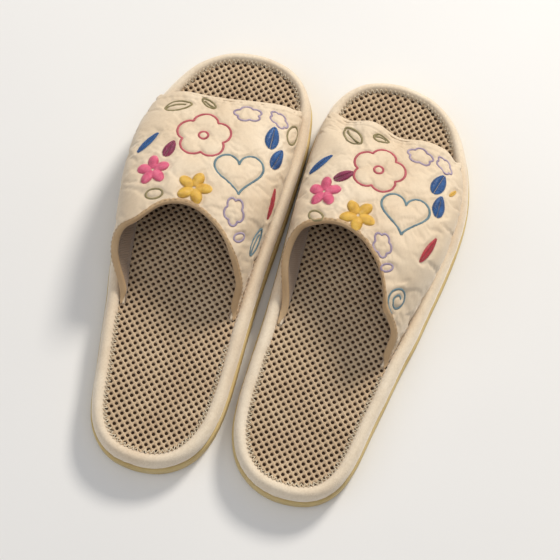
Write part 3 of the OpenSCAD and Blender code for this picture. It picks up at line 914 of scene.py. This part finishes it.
def build_overlock(side):
    """Over-edge stitches that join the mesh to the roll."""
    t, step = even_stations(5000, SEAM_IN)
    arc = np.arange(5000) * step
    pitch = 2.6
    n = int(arc[-1] / pitch)
    P = Parts()
    ta = np.interp((np.arange(n) + 0.25) * pitch, arc, t)
    tb = np.interp((np.arange(n) + 0.60) * pitch, arc, t)
    tc = np.interp((np.arange(n) + 1.25) * pitch, arc, t)
    prof = [(8.1, 19.45 - 0.75), (8.85, 18.35), (9.3, 17.2), (10.1, 16.95), (10.9, 16.85)]
    for i in range(n):
        if 6.45 < ta[i] < 14.7 or 21.3 < ta[i] < 29.35:
            continue
        for t0, t1 in ((ta[i], tb[i]), (tb[i], tc[i])):
            if t1 < t0 - 18:
                continue
            seq = prof if t0 == ta[i] else prof[::-1]
            tt = np.linspace(t0, t1, 5)
            q = lift(rim_at(tt, np.array([a for a, b in seq])), np.array([b for a, b in seq]))
            dz = dip(q[:, 0], q[:, 1])
            q[:, 2] += np.where(np.array([a for a, b in seq]) > 9.2, -dz + 0.25, 0.05)
            g = unit(np.gradient(q, axis=0))
            up = np.tile([0, 0, 1.0], (5, 1))
            up[:, :2] = unit(inset(tt, 12.0) - inset(tt, 5.0)) * 0.6
            V, F = tube(q, unit(up), 0.30, sides=5)
            P.add(V, F)
    o = P.obj(side + "_overlock_thread", side, M_SEAM)
    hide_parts(side + "_seam_stitches")
    return o


# ---------------------------------------------------------------- embroidery shapes
def tubes(C, up, r, sides=6, shape=None):
    """Many threads at once. C is (threads, points, 3), up the same, r a radius."""
    n, k, _ = C.shape
    T = unit(np.gradient(C, axis=1))
    U = unit(up - (up * T).sum(-1, keepdims=True) * T)
    S = np.cross(T, U)
    rad = np.full(k, r)
    rad[0] *= 0.45
    rad[-1] *= 0.45
    a = np.arange(sides) * 2 * math.pi / sides
    V = C[:, :, None] + rad[None, :, None, None] * (np.cos(a)[:, None] * S[:, :, None] + 0.8 * np.sin(a)[:, None] * U[:, :, None])
    per = k * sides
    F = [quads_grid(sides, k, wrap_u=True)]
    caps = []
    for o, flip in ((0, True), ((k - 1) * sides, False)):
        for q in range(0, sides - 2, 2):
            c = [o, o + q + 1, o + q + 2, o + q + 3]
            caps.append(c[::-1] if flip else c)
    F.append(np.array(caps))
    F = np.concatenate(F)
    F = (F[None] + (np.arange(n) * per)[:, None, None]).reshape(-1, 4)
    return V.reshape(-1, 3), F


def blossom(r, n=140):
    a = np.linspace(0, 2 * math.pi, n, endpoint=False)
    q = r * (0.76 + 0.24 * np.abs(np.cos(2.5 * a)) ** 0.75)
    return np.stack([q * np.sin(a), q * np.cos(a)], -1)


def heart(r, n=120):
    a = np.linspace(0, 2 * math.pi, n, endpoint=False)
    x = 16 * np.sin(a) ** 3
    y = 13 * np.cos(a) - 5 * np.cos(2 * a) - 2 * np.cos(3 * a) - np.cos(4 * a)
    return np.stack([x, y], -1) * r / 16


def cloud(r, n=100):
    a = np.linspace(0, 2 * math.pi, n, endpoint=False)
    q = r * (0.72 + 0.28 * np.abs(np.sin(2.5 * a + 0.3)) ** 0.75)
    return np.stack([q * np.cos(a), 0.70 * q * np.sin(a)], -1)


def leafshape(r, fat=0.42, n=80):
    a = np.linspace(0, 2 * math.pi, n, endpoint=False)
    x = r * np.cos(a)
    y = fat * r * np.sign(np.sin(a)) * np.abs(np.sin(a)) ** 1.3 * (1 - 0.2 * np.cos(a))
    return np.stack([x, y], -1)


def ovalshape(r, ratio=0.6, n=70):
    a = np.linspace(0, 2 * math.pi, n, endpoint=False)
    return np.stack([r * np.cos(a), ratio * r * np.sin(a)], -1)


def curl(r, n=70):
    a = np.linspace(0.4, 3.4 * math.pi, n)
    q = r * (0.25 + 0.75 * a / a[-1])
    return np.stack([q * np.cos(a), q * np.sin(a)], -1)


def turned(P, deg, dx=0.0, dy=0.0):
    c, s = math.cos(math.radians(deg)), math.sin(math.radians(deg))
    return np.stack([P[:, 0] * c - P[:, 1] * s + dx, P[:, 0] * s + P[:, 1] * c + dy], -1)


def hatch(poly, deg, gap=0.40):
    """Parallel lines inside a polygon, as (start, end) pairs."""
    Q = turned(poly, -deg)
    lo, hi = Q[:, 1].min(), Q[:, 1].max()
    out = []
    y = lo + gap * 0.6
    R = np.roll(Q, -1, 0)
    flip = False
    while y < hi:
        m = (Q[:, 1] <= y) != (R[:, 1] <= y)
        a, b = Q[m], R[m]
        x = np.sort(a[:, 0] + (y - a[:, 1]) / (b[:, 1] - a[:, 1]) * (b[:, 0] - a[:, 0]))
        for i in range(0, len(x) - 1, 2):
            if x[i + 1] - x[i] > 0.5:
                j0 = 0.12 * math.sin(y * 37.0 + deg)
                seg = np.array([[x[i] + j0, y], [x[i + 1] + j0, y]])
                out.append(turned(seg, deg))
        y += gap
    return out


# colour, form, place across (0 outer base, 12 inner base), outline station, size, turn
MOTIFS = {
    "left": [
        ("rose", "blossom", 5.62, 12.14, 16.0, 8),
        ("teal", "heart", 7.22, 11.16, 14.2, 16),
        ("gold", "flower", 6.00, 10.24, 10.4, 10),
        ("pink", "flower", 4.30, 10.52, 9.8, 30),
        ("magenta", "leaf", 4.66, 11.38, 6.4, 80),
        ("blue", "slim", 3.70, 11.50, 9.0, 58),
        ("olive", "leafline", 4.25, 13.20, 8.0, 20),
        ("olive", "leafline", 5.25, 13.52, 5.2, 150),
        ("lilac", "cloud", 6.75, 13.34, 8.2, 10),
        ("lilac", "cloud", 8.00, 13.42, 6.6, -35),
        ("olive", "oval", 9.25, 13.00, 7.0, 75),
        ("blue", "leaf", 7.95, 12.62, 8.2, 95),
        ("blue", "leaf", 8.60, 11.98, 7.6, 80),
        ("red", "slim", 9.45, 10.62, 9.6, 88),
        ("olive", "oval", 4.55, 9.80, 5.0, 20),
        ("lilac", "cloud", 7.60, 9.88, 8.4, 100),
        ("lilac", "oval", 8.40, 9.25, 4.0, 30),
        ("teal", "leafline", 9.70, 9.42, 8.4, 72),
    ],
    "right": [
        ("rose", "blossom", 6.36, 12.22, 15.6, -6),
        ("teal", "heart", 5.08, 11.02, 14.0, 6),
        ("gold", "flower", 6.45, 10.48, 10.4, -12),
        ("pink", "flower", 8.00, 11.02, 9.8, 15),
        ("magenta", "leaf", 7.48, 11.68, 6.4, 40),
        ("blue", "slim", 8.60, 11.95, 9.0, 50),
        ("olive", "leafline", 7.65, 13.20, 8.0, 150),
        ("olive", "leafline", 6.55, 13.50, 5.0, 12),
        ("lilac", "cloud", 5.05, 13.30, 8.0, -10),
        ("lilac", "cloud", 4.00, 13.36, 6.2, -40),
        ("blue", "leaf", 4.20, 12.46, 8.2, 78),
        ("blue", "leaf", 3.98, 11.66, 7.6, 95),
        ("red", "slim", 3.60, 10.15, 9.6, 66),
        ("gold", "slim", 3.25, 12.55, 4.6, 60),
        ("olive", "oval", 8.05, 10.20, 5.0, -20),
        ("lilac", "cloud", 5.20, 9.82, 7.4, 110),
        ("lilac", "oval", 4.70, 9.22, 3.6, 30),
        ("teal", "curl", 3.25, 8.48, 8.2, 10),
    ]}


def motif_lines(m):
    """(open or closed line, closed) of a motif's sewn outlines, round its middle."""
    _, form, _, _, r, deg = m
    if form == "blossom":
        return [(turned(blossom(r), deg), True), (turned(ovalshape(r * 0.17, 1.0, 30), deg), True)]
    if form == "heart":
        return [(turned(heart(r), deg), True)]
    if form == "cloud":
        return [(turned(cloud(r), deg), True)]
    if form == "oval":
        return [(turned(ovalshape(r), deg), True)]
    if form == "curl":
        return [(turned(curl(r), deg), False)]
    if form == "leafline":
        rib = np.stack([np.linspace(-0.95 * r, 0.55 * r, 20), 0.10 * r * np.sin(np.linspace(0, 3, 20))], -1)
        return [(turned(leafshape(r), deg), True), (turned(rib, deg), False)]
    return []


def motif_fills(m):
    """(polygon, thread angle) of a motif's satin areas."""
    _, form, _, _, r, deg = m
    out = []
    if form == "flower":
        for k in range(5):
            a = deg + k * 72
            p = ovalshape(r * 0.46, 0.74)
            p = np.stack([p[:, 0] + r * 0.54, p[:, 1]], -1)
            out.append((turned(p, a), a + 78))
    if form in ("leaf", "slim"):
        fat = 0.52 if form == "leaf" else 0.26
        p = leafshape(r, fat)
        up = p[p[:, 1] >= -1e-6]
        dn = p[p[:, 1] <= 1e-6]
        for q, s in ((up, 1), (dn, -1)):
            q = q[np.argsort(q[:, 0])]
            q = np.concatenate([q, [[q[-1, 0], 0.05 * s], [q[0, 0], 0.05 * s]]])
            out.append((turned(q, deg), deg + s * 52))
    return out


class Surface:
    """The outer face of an upper, for laying threads on."""

    def __init__(self, G, N, side, w, v):
        self.G, self.N, self.side = G, N, side
        nv, nu = G.shape[:2]
        V = G.reshape(-1, 3)
        F = quads_grid(nu, nv)
        self.tree = BVHTree.FromPolygons(V.tolist(), F.tolist())
        self.w, self.v = w, v

    def spot(self, w, t):
        lo, hi = float(throat(w, self.side)) + 0.14, float(toe_edge(w, self.side)) - 0.09
        j = int(np.abs(self.w - w).argmin())
        i = int(np.abs(self.v - (t - lo) / (hi - lo)).argmin())
        return self.G[i, j], self.N[i, j]

    def lay(self, side, w, t, xy):
        """Points and normals on the face under 2-D points round (w, t)."""
        c, n = self.spot(w, t)
        ex = np.array([1.0 if side == "right" else -1.0, 0, 0])
        ex = unit(ex - n * (ex @ n))
        ey = np.cross(n, ex) * (1 if side == "right" else -1)
        P, Q = [], []
        d = Vector(-n)
        for x, y in xy:
            o = c + ex * x + ey * y + n * 14.0
            hit, nn, _, _ = self.tree.ray_cast(Vector(o), d, 40.0)
            if hit is None:
                hit, nn, _, _ = self.tree.find_nearest(Vector(c + ex * x + ey * y))
            nn = np.array(nn)
            if nn @ n < 0:
                nn = -nn
            P.append(np.array(hit))
            Q.append(nn)
        return np.array(P), np.array(Q)


# ---------------------------------------------------------------- upper
NU, NV = 221, 141


def grid_normals(G):
    a = np.gradient(G, axis=1)
    b = np.gradient(G, axis=0)
    return unit(np.cross(b, a))


def upper_base(side):
    wf = np.linspace(0, 12, 2401)
    tm = (throat(wf, side) + toe_edge(wf, side)) / 2
    P = skin(wf, tm, side)
    s = np.concatenate([[0], np.cumsum(np.linalg.norm(np.diff(P, axis=0), axis=1))])
    w = np.interp(np.linspace(0, s[-1], NU), s, wf)
    v = np.linspace(0, 1, NV)
    t0, t1 = throat(w, side) + 0.14, toe_edge(w, side) - 0.09
    T = t0[None] + (t1 - t0)[None] * v[:, None]
    W = np.broadcast_to(w[None], T.shape)
    G = skin(W, T, side)
    N = away(W, T, side)
    # beside the throat the upper slumps in over the mesh on one side
    q = (12 - W) if side == "left" else W
    V = np.broadcast_to(v[:, None], W.shape)
    low = smoothstep(q, 0.30, 2.5) * (1 - smoothstep(q, 2.5, 5.2))
    high = smoothstep(q, 1.6, 4.0) * (1 - smoothstep(q, 5.0, 8.2))
    a, b = (-3.8, -2.0) if side == "left" else (6.2, 4.2)
    G = G.copy()
    G[..., 0] -= (a * low + b * high) * (1 - smoothstep(V, 0.0, 0.42))
    L = np.linalg.norm(np.diff(G, axis=0), axis=-1).sum(0)
    UV = np.stack([np.broadcast_to(np.linspace(0, s[-1], NU)[None], T.shape), v[:, None] * L[None]], -1)
    return w, v, G, N, UV, s[-1], L


def folds(side, w, v, G):
    """Broad folds of the upper, in millimetres along its outward direction."""
    W, V = w[None], v[:, None]
    h = 0 * G[..., 0]
    if side == "right":
        near = smoothstep(V, 0.70, 0.98)
        lean = W + 1.1 * (V - 0.9)
        h += near * 1.7 * np.exp(-((lean - 4.9) / 0.60) ** 2)
        h -= near * 2.6 * np.exp(-((lean - 6.0) / 0.52) ** 2)
        h += near * 3.1 * np.exp(-((lean - 7.1) / 0.58) ** 2)
        h -= near * 2.4 * np.exp(-((lean - 8.15) / 0.55) ** 2)
        h += near * 1.6 * np.exp(-((lean - 9.1) / 0.6) ** 2)
    else:
        near = smoothstep(V, 0.72, 1.0)
        h += near * 0.6 * np.sin(W * 1.9 + 0.4) * np.exp(-((W - 6) / 3.5) ** 2)
    # slack near the two sides, where the upper is sewn in
    for c, s0 in ((0.0, 1.0), (12.0, -1.0)):
        k = np.exp(-((W - c) / 2.1) ** 2) * smoothstep(np.abs(W - c), 0.15, 0.9)
        h += 0.55 * k * wave_noise(V * 9.0 + 0.25 * W * s0, W * 0.5, 31 + (c > 0) + (side == "right") * 4, 2)
    h += 0.35 * wave_noise(W * 0.9, V * 4.0, 41 if side == "left" else 47, 2) * smoothstep(W, 0.2, 1.5) * smoothstep(12 - W, 0.2, 1.5)
    return h


def bulge_by_cloth(G, pin, frames_n=22):
    """Inflates the face a little with a cloth simulation. G is in millimetres."""
    nv, nu = G.shape[:2]
    k = 0.01
    me = bpy.data.meshes.new("puff")
    me.from_pydata((G.reshape(-1, 3) * k).tolist(), [], quads_grid(nu, nv)[:, ::-1].tolist())
    me.update()
    ob = bpy.data.objects.new("puff", me)
    scene.collection.objects.link(ob)
    # faces look outwards
    n = np.array(me.polygons[(nv // 2) * (nu - 1) + nu // 2].normal)
    if n[2] < 0:
        me.flip_normals()
    g = ob.vertex_groups.new(name="pin")
    flat = pin.ravel()
    for val in (1.0, 0.6, 0.3):
        idx = np.nonzero(np.abs(flat - val) < 0.01)[0]
        if len(idx):
            g.add(idx.tolist(), val, "REPLACE")
    m = ob.modifiers.new("cloth", "CLOTH")
    s = m.settings
    s.quality = 6
    s.mass = 0.25
    s.tension_stiffness = 14
    s.compression_stiffness = 10
    s.shear_stiffness = 7
    s.bending_stiffness = 0.35
    s.use_pressure = True
    s.uniform_pressure_force = 3.2
    s.shrink_min = -0.035
    s.vertex_group_mass = "pin"
    s.pin_stiffness = 2.0
    s.effector_weights.gravity = 0.0
    m.collision_settings.use_collision = False
    m.collision_settings.use_self_collision = False
    m.point_cache.frame_start = 1
    m.point_cache.frame_end = frames_n + 1
    for f in range(1, frames_n + 1):
        scene.frame_set(f)
    dg = bpy.context.evaluated_depsgraph_get()
    ev = ob.evaluated_get(dg)
    co = np.empty(len(me.vertices) * 3)
    ev.to_mesh().vertices.foreach_get("co", co)
    ev.to_mesh_clear()
    bpy.data.objects.remove(ob, do_unlink=True)
    scene.frame_set(1)
    return co.reshape(nv, nu, 3) / k


def spread2(A, nv, nu):
    """Grid A, resampled to nv by nu."""
    a, b = A.shape[:2]
    y, x = np.linspace(0, a - 1, nv), np.linspace(0, b - 1, nu)
    i, j = np.minimum(y.astype(int), a - 2), np.minimum(x.astype(int), b - 2)
    fy, fx = (y - i), (x - j)

    def cub(P0, P1, P2, P3, s):
        return cr(P0, P1, P2, P3, s)

    def pick(M, idx, off, n):
        return M[np.clip(idx + off, 0, n - 1)]

    s = fy.reshape((-1,) + (1,) * (A.ndim - 1))
    R = cub(pick(A, i, -1, a), pick(A, i, 0, a), pick(A, i, 1, a), pick(A, i, 2, a), s)
    R = np.swapaxes(R, 0, 1)
    s = fx.reshape((-1,) + (1,) * (A.ndim - 1))
    R = cub(pick(R, j, -1, b), pick(R, j, 0, b), pick(R, j, 1, b), pick(R, j, 2, b), s)
    return np.swapaxes(R, 0, 1)


def nearest(points, grid):
    """Distance in millimetres from each grid point to the nearest of points."""
    from mathutils.kdtree import KDTree
    kd = KDTree(len(points))
    for i, p in enumerate(points):
        kd.insert(p, i)
    kd.balance()
    flat = grid.reshape(-1, 3)
    return np.array([kd.find(p)[2] for p in flat]).reshape(grid.shape[:2])


def fringe(G, N, O, prof):
    """A tape laid along an edge: prof gives (outward, up) offsets of its section."""
    m = len(prof)
    s = np.concatenate([[0], np.cumsum(np.linalg.norm(np.diff(G, axis=0), axis=1))])
    # the two ends thin out where the edge is sewn in
    k = 0.40 + 0.60 * smoothstep(np.minimum(s, s[-1] - s), 0.5, 7.0)
    R = G[:, None] + prof[None, :, :1] * O[:, None] + prof[None, :, 1:] * k[:, None, None] * N[:, None]
    n = len(G)
    V = R.reshape(-1, 3)
    F = [quads_grid(m, n, wrap_u=True)]
    F = [tuple(f) for f in np.concatenate(F).tolist()]
    F.append(tuple(range(m))[::-1])
    F.append(tuple((n - 1) * m + k for k in range(m)))
    return V, F


def build_upper(side):
    w, v, G0, N0, UV, width, L = upper_base(side)
    W, V = np.broadcast_to(w[None], G0.shape[:2]), np.broadcast_to(v[:, None], G0.shape[:2])
    mm_u = UV[..., 0]
    mm_v = UV[..., 1]
    base = G0 + N0 * folds(side, w, v, G0)[..., None]
    N1 = grid_normals(base)
    if (N1 * N0).sum() < 0:
        N1 = -N1
    first = Surface(base, N1, side, w, v)
    lines_, fills_ = [], []
    for m in MOTIFS[side]:
        for xy, closed in motif_lines(m):
            xy = resample(xy, 0.9, closed)
            P, _ = first.lay(side, m[2], m[3], xy)
            lines_.append(P)
        for poly, _ in motif_fills(m):
            P, _ = first.lay(side, m[2], m[3], resample(poly, 0.9, True))
            fills_.append(P)
    sewn = np.concatenate(lines_)
    filled = np.concatenate(fills_)
    near_l = nearest(sewn, base)
    near_f = nearest(filled, base)
    near_a = np.minimum(near_l, near_f)
    edge_v = np.minimum(V, 1 - V) * L[None]
    edge_u = np.minimum(mm_u, width - mm_u)
    # --- padding pushes the face out between the sewn lines
    cv, cu = 71, 111
    Gc = base[::2, ::2]
    pinned = np.zeros(Gc.shape[:2])
    pinned[near_a[::2, ::2] < 1.1] = 0.6
    pinned[near_l[::2, ::2] < 0.8] = 1.0
    pinned[:, :2] = 1.0
    pinned[:, -2:] = 1.0
    pinned[0] = pinned[-1] = 1.0
    start = Gc - N1[::2, ::2] * (0.5 * np.exp(-(near_a[::2, ::2] / 1.3) ** 2))[..., None]
    sim = bulge_by_cloth(start, pinned)
    d = sim - Gc
    ok = np.isfinite(d).all(-1, keepdims=True)
    d = np.where(ok, d, 0.0)
    out = (d * N1[::2, ::2]).sum(-1, keepdims=True)
    along = d - out * N1[::2, ::2]
    k = np.linalg.norm(along, axis=-1, keepdims=True)
    along = along * np.minimum(1, 0.8 / np.maximum(k, 1e-6))
    out = np.where(out > 0, 1.7 * np.tanh(out / 2.2), 0.7 * np.tanh(out / 1.0))
    print("puff", side, round(float(out.mean()), 2), round(float(out.max()), 2), round(float(out.min()), 2))
    disp = spread2(along + out * N1[::2, ::2], NV, NU)
    G = base + disp
    # --- sewn lines sink, the cloth puckers beside them
    seed = 61 if side == "left" else 67
    sink = -0.42 * np.exp(-(near_l / 0.95) ** 2) - 0.22 * np.exp(-(near_f / 1.3) ** 2)
    puck = 0.15 * wave_noise(mm_u / 1.5, mm_v / 1.5, seed, 2) * np.exp(-(near_a / 2.2))
    crumple = 0.06 * wave_noise(mm_u / 6.5, mm_v / 4.2, seed + 2, 3)
    ridge = wave_noise(mm_u / 10.0, mm_v / 5.0, seed + 4, 3)
    crease = 0.15 * (1 - np.abs(np.clip(ridge * 2.2, -1, 1))) ** 2 * np.clip(wave_noise(mm_u / 22, mm_v / 22, seed + 6, 2) + 0.35, 0, 1)
    gathers = 0.0
    for e in (mm_u, width - mm_u):
        ph = mm_v * 2 * math.pi / 4.3 + 1.6 * wave_noise(mm_v / 9, 0 * mm_v, seed + 8, 2)
        gathers = gathers + 0.38 * np.cos(ph) * np.exp(-((e - 3.0) / 3.6) ** 2) * smoothstep(e, 0, 2.0)
    # a hem groove along the turned toe edge, and one beside the throat binding
    hem = -0.30 * np.exp(-(((1 - V) * L[None] - 5.0) / 0.6) ** 2) + 0.20 * np.exp(-(((1 - V) * L[None] - 3.0) / 1.3) ** 2)
    hem2 = -0.22 * np.exp(-((V * L[None] - 2.3) / 0.6) ** 2)
    fade = smoothstep(edge_u, 0.0, 1.5) * smoothstep(edge_v, 0.2, 3.2)
    h = (sink + puck + crumple + crease + gathers + hem + hem2) * fade
    N2 = grid_normals(G)
    if (N2 * N0).sum() < 0:
        N2 = -N2
    G = G + N2 * h[..., None]
    N = grid_normals(G)
    if (N * N0).sum() < 0:
        N = -N
    # --- the padded body: outer face, and an inner face 2.7 mm below the base
    inner = base - N1 * 2.75
    nv, nu = G.shape[:2]
    V3 = np.concatenate([G.reshape(-1, 3), inner.reshape(-1, 3)])
    F = quads_grid(nu, nv)
    n = nu * nv
    rim = np.concatenate([np.arange(nu), np.arange(1, nv) * nu + nu - 1, (nv - 1) * nu + np.arange(nu - 2, -1, -1), np.arange(nv - 2, 0, -1) * nu])
    nxt = np.roll(rim, -1)
    wall = np.stack([rim + n, nxt + n, nxt, rim], -1)
    F = np.concatenate([F, F[:, ::-1] + n, wall])
    uv = np.concatenate([UV.reshape(-1, 2), UV.reshape(-1, 2)])
    ob = make(side + "_upper", side, V3, F, M_UPPER, uv=uv)
    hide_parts(side + "_upper_shell", side + "_upper_padding")
    # --- lining
    a = base[:, 1:-1] - N1[:, 1:-1] * 2.85
    b = base[:, 1:-1] - N1[:, 1:-1] * 3.5
    a, b = a[::2, ::2], b[::2, ::2]
    uvl = UV[:, 1:-1][::2, ::2].reshape(-1, 2)
    nv2, nu2 = a.shape[:2]
    rip = 0.18 * wave_noise(mm_u[:, 1:-1][::2, ::2] / 5, mm_v[:, 1:-1][::2, ::2] / 5, seed + 12, 2)
    rip = np.minimum(rip, 0.1)
    b = b + N1[:, 1:-1][::2, ::2] * rip[..., None]
    V4 = np.concatenate([a.reshape(-1, 3), b.reshape(-1, 3)])
    F = quads_grid(nu2, nv2)
    n = nu2 * nv2
    rim = np.concatenate([np.arange(nu2), np.arange(1, nv2) * nu2 + nu2 - 1, (nv2 - 1) * nu2 + np.arange(nu2 - 2, -1, -1), np.arange(nv2 - 2, 0, -1) * nu2])
    nxt = np.roll(rim, -1)
    F = np.concatenate([F, F[:, ::-1] + n, np.stack([rim + n, nxt + n, nxt, rim], -1)])
    ob = make(side + "_lining", side, V4, F, M_LINING, uv=np.concatenate([uvl, uvl]))
    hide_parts(side + "_upper_lining")
    # --- binding round the throat
    tape = smooth_loop([[-1.7, 0.10], [-1.2, 0.28], [-0.2, 0.34], [0.5, 0.16], [0.95, -0.45], [1.1, -1.4], [0.95, -2.5], [0.5, -3.35],
                        [-0.3, -3.75], [-1.7, -3.85], [-1.8, -3.6], [-0.3, -3.4], [0.25, -2.6], [0.3, -1.0], [-0.3, -0.15], [-1.4, -0.12]], 34)
    sl = slice(1, -1)
    E, En = G[0, sl], N1[0, sl]
    O = unit(base[0, sl] - base[3, sl])
    O = unit(O - (O * En).sum(-1, keepdims=True) * En)
    arc = mm_u[0, sl]
    wob = 0.05 * wave_noise(arc / 5.0, 0 * arc, seed + 20, 2)
    V5, F5 = fringe(E + En * wob[:, None], En, O, tape)
    ob = make(side + "_throat_tape", side, V5, F5, M_BIND, uv=np.stack([np.repeat(arc, 34), np.tile(np.linspace(0, 12, 34), len(arc))], -1))
    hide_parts(side + "_throat_binding")
    # --- turned toe edge
    tape = smooth_loop([[-1.4, 0.02], [-0.9, 0.12], [0.0, 0.16], [0.8, -0.05], [1.35, -0.75], [1.5, -1.7], [1.25, -2.7], [0.5, -3.35],
                        [-0.5, -3.62], [-3.0, -3.75], [-3.0, -3.5], [-0.5, -3.2], [0.3, -2.4], [0.35, -1.0], [-0.3, -0.3], [-1.2, -0.22]], 34)
    E, En = G[-1, sl], N1[-1, sl]
    O = unit(base[-1, sl] - base[-4, sl])
    O = unit(O - (O * En).sum(-1, keepdims=True) * En)
    V6, F6 = fringe(E, En, O, tape)
    ob = make(side + "_toe_hem", side, V6, F6, M_UPPER, uv=np.stack([np.repeat(arc, 34), np.tile(np.linspace(0, 12, 34), len(arc))], -1))
    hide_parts(side + "_toe_binding")
    # --- stitches along the throat binding
    face = Surface(G, N, side, w, v)
    row_i = int(round(1.0 / max(L.mean() / (NV - 1), 1e-6)))
    line = G[row_i] + N[row_i] * 0.34
    nrm = N[row_i]
    s = np.concatenate([[0], np.cumsum(np.linalg.norm(np.diff(line, axis=0), axis=1))])
    q = np.arange(6.0, s[-1] - 6.0, 3.0)
    C = np.stack([np.stack([np.interp(q + o, s, line[:, k]) for k in range(3)], -1) for o in (0, 0.5, 1.1, 1.7, 2.2)], 1)
    U = np.stack([unit(np.stack([np.interp(q + o, s, nrm[:, k]) for k in range(3)], -1)) for o in (0, 0.5, 1.1, 1.7, 2.2)], 1)
    C = C + U * (np.array([-0.30, 0.08, 0.16, 0.08, -0.30])[None, :, None])
    Vt, Ft = tubes(C, U, 0.19)
    Pt = Parts()
    Pt.add(Vt, Ft)
    ob = Pt.obj(side + "_tape_stitches", side, M_TAN)
    # --- embroidery, one piece for each thread
    groups = {}
    for m in MOTIFS[side]:
        P = groups.setdefault(m[0], Parts())
        for xy, closed in motif_lines(m):
            xy = resample(xy, 0.40, closed)
            A, B = face.lay(side, m[2], m[3], xy)
            # even out what the ray casts jitter
            for _ in range(2):
                if closed:
                    A = (np.roll(A, 1, 0) + 2 * A + np.roll(A, -1, 0)) / 4
                    B = unit(np.roll(B, 1, 0) + 2 * B + np.roll(B, -1, 0))
                else:
                    A[1:-1] = (A[:-2] + 2 * A[1:-1] + A[2:]) / 4
                    B[1:-1] = unit(B[:-2] + 2 * B[1:-1] + B[2:])
            if closed:
                T = unit(np.roll(A, -1, 0) - np.roll(A, 1, 0))
            else:
                T = unit(np.gradient(A, axis=0))
            S = unit(np.cross(T, B))
            wide = (1.5 if m[1] in ("blossom", "heart") else 1.25) / 2
            k = np.arange(len(A))
            jit = 0.10 * (hash01(k, 3.0) - 0.5)
            xs = np.array([-1.0, -0.66, 0.0, 0.66, 1.0])
            hs = np.array([-0.10, 0.30, 0.52, 0.30, -0.10])
            C = A[:, None] + S[:, None] * ((wide + jit)[:, None] * xs[None])[..., None] + B[:, None] * hs[None, :, None] + T[:, None] * (0.22 * xs)[None, :, None]
            U = np.broadcast_to(B[:, None], C.shape)
            Vt, Ft = tubes(C, U, 0.235)
            P.add(Vt, Ft)
        for poly, ang in motif_fills(m):
            for idx, seg in enumerate(hatch(poly, ang)):
                ln = np.linalg.norm(seg[1] - seg[0])
                kk = 7 if ln > 2.2 else 5
                sarr = np.linspace(0, 1, kk)
                xy = seg[0] + (seg[1] - seg[0]) * sarr[:, None]
                A, B = face.lay(side, m[2], m[3], xy)
                crown = min(0.30 + 0.09 * ln, 0.75)
                hh = -0.08 + crown * np.sin(np.pi * sarr) ** 0.6
                C = (A + B * hh[:, None])[None]
                Vt, Ft = tubes(C, B[None], 0.25)
                P.add(Vt, Ft)
    for colour, P in groups.items():
        ob = P.obj(side + "_sewn_" + colour, side, THREADS[colour])
        node = {"pink": None, "magenta": None}.get(colour, colour)
        if node:
            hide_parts(side + "_motif_" + node)
    return {"width": width, "length": (float(L.min()), float(L.max()))}


# ---------------------------------------------------------------- build
for side in ("left", "right"):
    build_outsole(side)
    build_roll(side)
    build_footbed(side)
    build_mesh(side)
    build_overlock(side)
    facts = build_upper(side)
    print("upper", side, facts)

# ---------------------------------------------------------------- stage, camera and light
def floor_material():
    T = Tree("floor")
    n = T.noise(3.0, 3, 0.5)
    c = T.ramp(n.outputs["Fac"], [(0.3, (0.80, 0.79, 0.775, 1)), (0.7, (0.84, 0.83, 0.815, 1))])
    T.color(c.outputs["Color"])
    f = T.noise(300.0, 3, 0.6)
    T.normal(T.bump(f.outputs["Fac"], 0.08, 0.0002))
    T.set(Roughness=0.85, Specular_IOR_Level=0.2)
    return T.m


me = bpy.data.meshes.new("floor")
fv, ff = [], []
for j in range(9):
    for i in range(9):
        fv.append(((i - 4) * 1.5, (j - 4) * 1.5, -0.0002))
for j in range(8):
    for i in range(8):
        a = j * 9 + i
        ff.append((a, a + 1, a + 10, a + 9))
me.from_pydata(fv, [], ff)
me.materials.append(floor_material())
floor = bpy.data.objects.new("floor", me)
scene.collection.objects.link(floor)

cam = bpy.data.cameras.new("camera")
cam.sensor_width = 36.0
cam.lens = 36.0 * (1000.0 / 0.59) / 560.0
cam.clip_start = 0.05
cam.clip_end = 20.0
co = bpy.data.objects.new("camera", cam)
scene.collection.objects.link(co)
elev, turn = math.radians(72.5), math.radians(16.8)
back = Vector((math.sin(turn) * math.cos(elev), -math.cos(turn) * math.cos(elev), math.sin(elev)))
aim = Vector((0.00615, -0.00065, 0.0))
right_v = Vector((math.cos(turn), math.sin(turn), 0.0))
up_v = back.cross(right_v)
from mathutils import Matrix
M = Matrix((right_v, up_v, back)).transposed().to_4x4()
M.translation = aim + back * 1.0
co.matrix_world = M
scene.camera = co


def area(name, pos, size, power, color, target=(0, 0, 0.02)):
    l = bpy.data.lights.new(name, "AREA")
    l.shape = "DISK"
    l.size = size
    l.energy = power
    l.color = color
    o = bpy.data.objects.new(name, l)
    o.location = pos
    o.rotation_euler = (Vector(target) - Vector(pos)).to_track_quat("-Z", "Y").to_euler()
    scene.collection.objects.link(o)
    return o


area("key", (0.40, 1.12, 0.98), 0.36, 19.0, (1.0, 0.95, 0.87))
area("fill", (-1.0, -0.6, 1.2), 1.4, 3.6, (0.94, 0.96, 1.0))
area("top", (0.1, -0.2, 1.9), 1.4, 5.2, (1.0, 0.98, 0.955))
world = bpy.data.worlds.new("world")
world.use_nodes = True
world.node_tree.nodes["Background"].inputs["Color"].default_value = (0.94, 0.96, 1.0, 1.0)
world.node_tree.nodes["Background"].inputs["Strength"].default_value = 0.36
scene.world = world
scene.view_settings.view_transform = "Standard"
